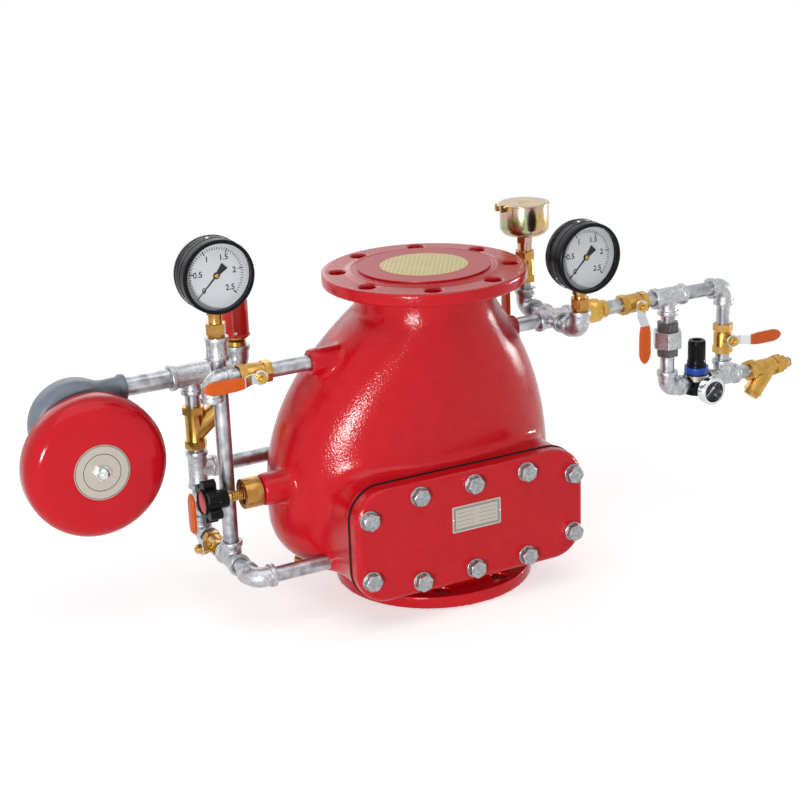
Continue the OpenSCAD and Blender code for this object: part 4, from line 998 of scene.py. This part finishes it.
@dataclass
class SmallTrim:
    """Small fittings that the solids leave out: a plug, the switch's top and the knob's cap."""

    plug_at: Point = (-190.0, 40.0, 58.0)
    knob_face: Point = (-348.0, 0.0, 180.0)
    screw_turn: float = -111.4
    screw_r: float = 18.9
    screw_rise: float = 7.0
    top_drop: float = 6.0
    plug_flats: float = 21.0
    plug_head: float = 9.0
    plug_collar: float = 10.4

    def build(self) -> None:
        """Makes the three fittings."""
        self._plug()
        self._switch()
        self._knob_cap()

    def _plug(self) -> None:
        """Makes the brass plug in the body's underside."""
        bm = bmesh.new()
        shank = ((8.5, 0), (8.5, 9), (11.5, 9.4), (11.5, self.plug_collar), (9, 11))
        lathe(bm, shank, frame_at(self.plug_at, (0, 0, -1)), 40)
        x, y, z = self.plug_at
        seat = frame_at((x, y, z - self.plug_collar), (0, 0, -1))
        hex_head(bm, self.plug_flats, self.plug_head, seat)
        plug = new_piece("body_plug", finish_mesh(bm, "body_plug"), GUNMETAL)

    def _switch(self) -> None:
        """Makes the pressed steel top and the clamping screw of the pressure switch."""
        low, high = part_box("switch_cover")
        axis_x, axis_y = (low[0] + high[0]) / 2 / MM, (low[1] + high[1]) / 2 / MM
        foot, top = low[2] / MM, high[2] / MM
        bm = bmesh.new()
        seat = frame_at((axis_x, axis_y, top - self.top_drop), (0, 0, 1))
        dome = ((19.05, 0), (19.6, 0.3), (19.6, 2.2), (16.0, 6.3), (14.5, 6.8), (6, 7.0), (0, 7.0))
        lathe(bm, dome, seat, 64)
        cap = new_piece("switch_top", finish_mesh(bm, "switch_top", 25.0), LEVER_STEEL)
        bm = bmesh.new()
        turn = math.radians(self.screw_turn)
        way = (math.cos(turn), math.sin(turn), 0.0)
        spot = (axis_x + way[0] * self.screw_r, axis_y + way[1] * self.screw_r, foot + self.screw_rise)
        slotted = ((2.4, 0), (2.4, 0.6), (2.0, 1.3), (0.9, 1.7), (0.5, 1.2), (0, 1.2))
        lathe(bm, slotted, frame_at(spot, way), 24)
        screw = new_piece("switch_screw", finish_mesh(bm, "switch_screw"), LEVER_STEEL)

    def _knob_cap(self) -> None:
        """Makes the red cap and its rim on the outer face of the drain knob."""
        bm = bmesh.new()
        seat = frame_at(self.knob_face, (-1, 0, 0))
        lathe(bm, ((15.0, 0), (15.0, 0.9), (14.2, 1.2), (5, 1.5), (0, 1.5)), seat, 48)
        cap = new_piece("knob_cap", finish_mesh(bm, "knob_cap"), RED_FILM, "drain_knob")
        bm = bmesh.new()
        lathe(bm, ((15.3, 0), (15.3, 2.0), (15.9, 2.4), (17.6, 2.4), (18.4, 1.6), (18.6, 0)), seat, 48)
        rim = new_piece("knob_rim", finish_mesh(bm, "knob_rim"), BLACK_NYLON, "drain_knob")


@dataclass
class Studio:
    """Pale floor, lamps and a camera at the photograph's place."""

    place: Point = (-1097.4, -2075.7, 1065.5)
    azimuth: float = -26.89
    elevation: float = 18.9
    roll: float = -2.17
    focal_px: float = 1751.69
    frame_px: float = 800.0
    world_level: float = 0.27
    floor_glow: float = 0.56
    floor_half: float = 2.6
    floor_drop: float = 0.0005
    floor_fade: tuple[float, float] = (0.7, 1.9)
    sensor_mm: float = 36.0
    aim: Point = (0.0, 0.0, 0.25)

    def build(self) -> None:
        """Makes the floor, the lamps and the camera."""
        self._floor()
        self._lamps()
        self._camera()

    def _seen_straight(self, tree: bpy.types.NodeTree) -> bpy.types.NodeSocket:
        """Gives 1 on rays from the camera, from shiny surfaces and through glass.

        Args:
            tree: The node tree that needs the value.

        Returns:
            The output that carries it.
        """
        path = add(tree, "ShaderNodeLightPath").outputs
        shiny = add(
            tree,
            "ShaderNodeMath",
            {0: path["Is Glossy Ray"], 1: path["Is Transmission Ray"]},
            operation="MAXIMUM",
        )
        either = add(
            tree, "ShaderNodeMath", {0: path["Is Camera Ray"], 1: shiny.outputs[0]}, operation="MAXIMUM"
        )
        return either.outputs[0]

    def _floor(self) -> None:
        """Makes a pale floor that keeps the shadow and fades into the white world."""
        bm = bmesh.new()
        far = self.floor_half
        corners = ((-far, -far, 0), (far, -far, 0), (far, far, 0), (-far, far, 0))
        bm.faces.new([bm.verts.new(p) for p in corners])
        floor = bpy.data.objects.new("floor", finish_mesh(bm, "floor"))
        floor.location.z = -self.floor_drop
        bpy.context.scene.collection.objects.link(floor)
        made = bpy.data.materials.new("pale_floor")
        made.use_nodes = True
        tree = made.node_tree
        shader = tree.nodes["Principled BSDF"]
        shader.inputs["Base Color"].default_value = (0.7, 0.7, 0.7, 1.0)
        shader.inputs["Roughness"].default_value = 0.95
        shader.inputs["Emission Color"].default_value = (1.0, 1.0, 1.0, 1.0)
        glow = add(
            tree, "ShaderNodeMath", {0: self._seen_straight(tree), 1: self.floor_glow}, operation="MULTIPLY"
        )
        tree.links.new(glow.outputs[0], shader.inputs["Emission Strength"])
        where = add(tree, "ShaderNodeTexCoord").outputs["Object"]
        reach = add(tree, "ShaderNodeVectorMath", {0: where}, operation="LENGTH")
        near, gone = self.floor_fade
        fade = add(
            tree,
            "ShaderNodeMapRange",
            {
                "Value": reach.outputs["Value"],
                "From Min": near,
                "From Max": gone,
                "To Min": 1.0,
                "To Max": 0.0,
            },
            interpolation_type="SMOOTHSTEP",
        )
        tree.links.new(fade.outputs["Result"], shader.inputs["Alpha"])
        floor.data.materials.append(made)

    def _lamps(self) -> None:
        """Makes a white world, a small bright lamp at each side and large soft ones above and behind."""
        scene = bpy.context.scene
        world = bpy.data.worlds.new("studio")
        scene.world = world
        world.use_nodes = True
        tree = world.node_tree
        light = tree.nodes["Background"]
        light.inputs["Color"].default_value = (1.0, 1.0, 1.0, 1.0)
        light.inputs["Strength"].default_value = self.world_level
        seen = add(tree, "ShaderNodeBackground", {"Color": (1.0, 1.0, 1.0, 1.0), "Strength": 1.0})
        mixed = add(
            tree,
            "ShaderNodeMixShader",
            {0: self._seen_straight(tree), 1: light.outputs[0], 2: seen.outputs[0]},
        )
        tree.links.new(mixed.outputs[0], tree.nodes["World Output"].inputs["Surface"])
        for name, spot, wide, tall, power in (
            ("key", (-1.88, -2.04, 0.4), 0.46, 0.4, 46.0),
            ("side", (2.6, -0.1, 0.2), 0.24, 0.24, 24.0),
            ("top", (-0.3, -0.6, 2.6), 3.0, 2.4, 24.0),
            ("back", (-0.2, 2.5, 1.5), 2.6, 1.6, 16.0),
        ):
            lamp = bpy.data.lights.new(name, "AREA")
            lamp.shape = "RECTANGLE"
            lamp.size = wide
            lamp.size_y = tall
            lamp.energy = power
            holder = bpy.data.objects.new(name, lamp)
            holder.location = spot
            holder.rotation_euler = (Vector(self.aim) - Vector(spot)).to_track_quat("-Z", "Y").to_euler()
            scene.collection.objects.link(holder)

    def _camera(self) -> None:
        """Makes the camera from its place, its direction and its roll."""
        a, e, r = (math.radians(v) for v in (self.azimuth, self.elevation, self.roll))
        back = Vector((math.sin(a) * math.cos(e), -math.cos(a) * math.cos(e), math.sin(e)))
        right = (-back).cross(Vector((0, 0, 1))).normalized()
        up = right.cross(-back)
        side = right * math.cos(r) + up * math.sin(r)
        top = up * math.cos(r) - right * math.sin(r)
        lens = bpy.data.cameras.new("camera")
        lens.sensor_width = self.sensor_mm
        lens.lens = self.sensor_mm * self.focal_px / self.frame_px
        lens.clip_end = 100.0
        camera = bpy.data.objects.new("camera", lens)
        rows = [[side[i], top[i], back[i], self.place[i] * MM] for i in range(3)]
        camera.matrix_world = Matrix([*rows, [0, 0, 0, 1]])
        bpy.context.scene.collection.objects.link(camera)
        bpy.context.scene.camera = camera


def dress_solids(nodes: dict[str, bpy.types.Object]) -> None:
    """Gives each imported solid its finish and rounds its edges.

    Args:
        nodes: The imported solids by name.
    """
    for name, (finish, edge) in NODE_FINISH.items():
        obj = nodes[name]
        set_finish(obj, finish)
        soften(obj, edge)
    dials = nodes["gauge_dials"].data
    dials.materials.append(DIAL_DARK.material())
    for face in dials.polygons:
        face.material_index = 1 if face.center.x > MINI_DIAL_X else 0


def main() -> None:
    """Builds the sub-assemblies in order."""
    logging.basicConfig(level=logging.INFO)
    bpy.context.scene.view_settings.view_transform = "Standard"
    for stray in list(bpy.data.objects):
        bpy.data.objects.remove(stray)
    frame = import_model()
    nodes = frame["nodes"]
    dress_solids(nodes)
    Casting().build(nodes)
    MotorCasting().build(nodes)
    CoverBolts().build()
    scale = ("0", "0.5", "1", "1.5", "2", "2.5")
    left = Gauge("left_gauge", (-301.0, 0.0, 486.0), 50.0, 12.0, "left_needle", INK, scale)
    right = Gauge("right_gauge", (210.0, -98.0, 455.0), 50.0, 12.0, "right_needle", INK, scale)
    small_scale = ("0", "4", "8", "12")
    mini = Gauge(
        "mini_gauge", (468.0, -46.0, 197.0), 21.5, 8.0, "mini_needle", PALE_INK, small_scale, minor=24
    )
    for gauge in (left, right, mini):
        gauge.build()
    for gauge in (left, right):
        gauge.screws((95.0, 215.0, 335.0))
        gauge.seams((15.0, 33.0))
    for name, valve, along, stem in (
        ("level", (-264.0, -5.0, 350.0), (-1, 0, 0), (0, -1, 0)),
        ("test", (-301.0, 84.0, 76.0), (0, 0, 1), (-1, 0, 0)),
        ("fill", (210.0, 78.0, 408.0), (0, 0, -1), (-1, 0, 0)),
        ("air", (348.0, 0.0, 346.0), (0, 0, -1), (0, -1, 0)),
        ("bypass", (517.0, 0.0, 264.0), (1, 0, 0), (0, -1, 0)),
    ):
        Grip(name, valve, along, stem).build()
    Plates().build()
    OutletDisc().build()
    DrainValve().build()
    Regulator().build()
    SmallTrim().build()
    Studio().build()


if __name__ == "__main__":
    main()
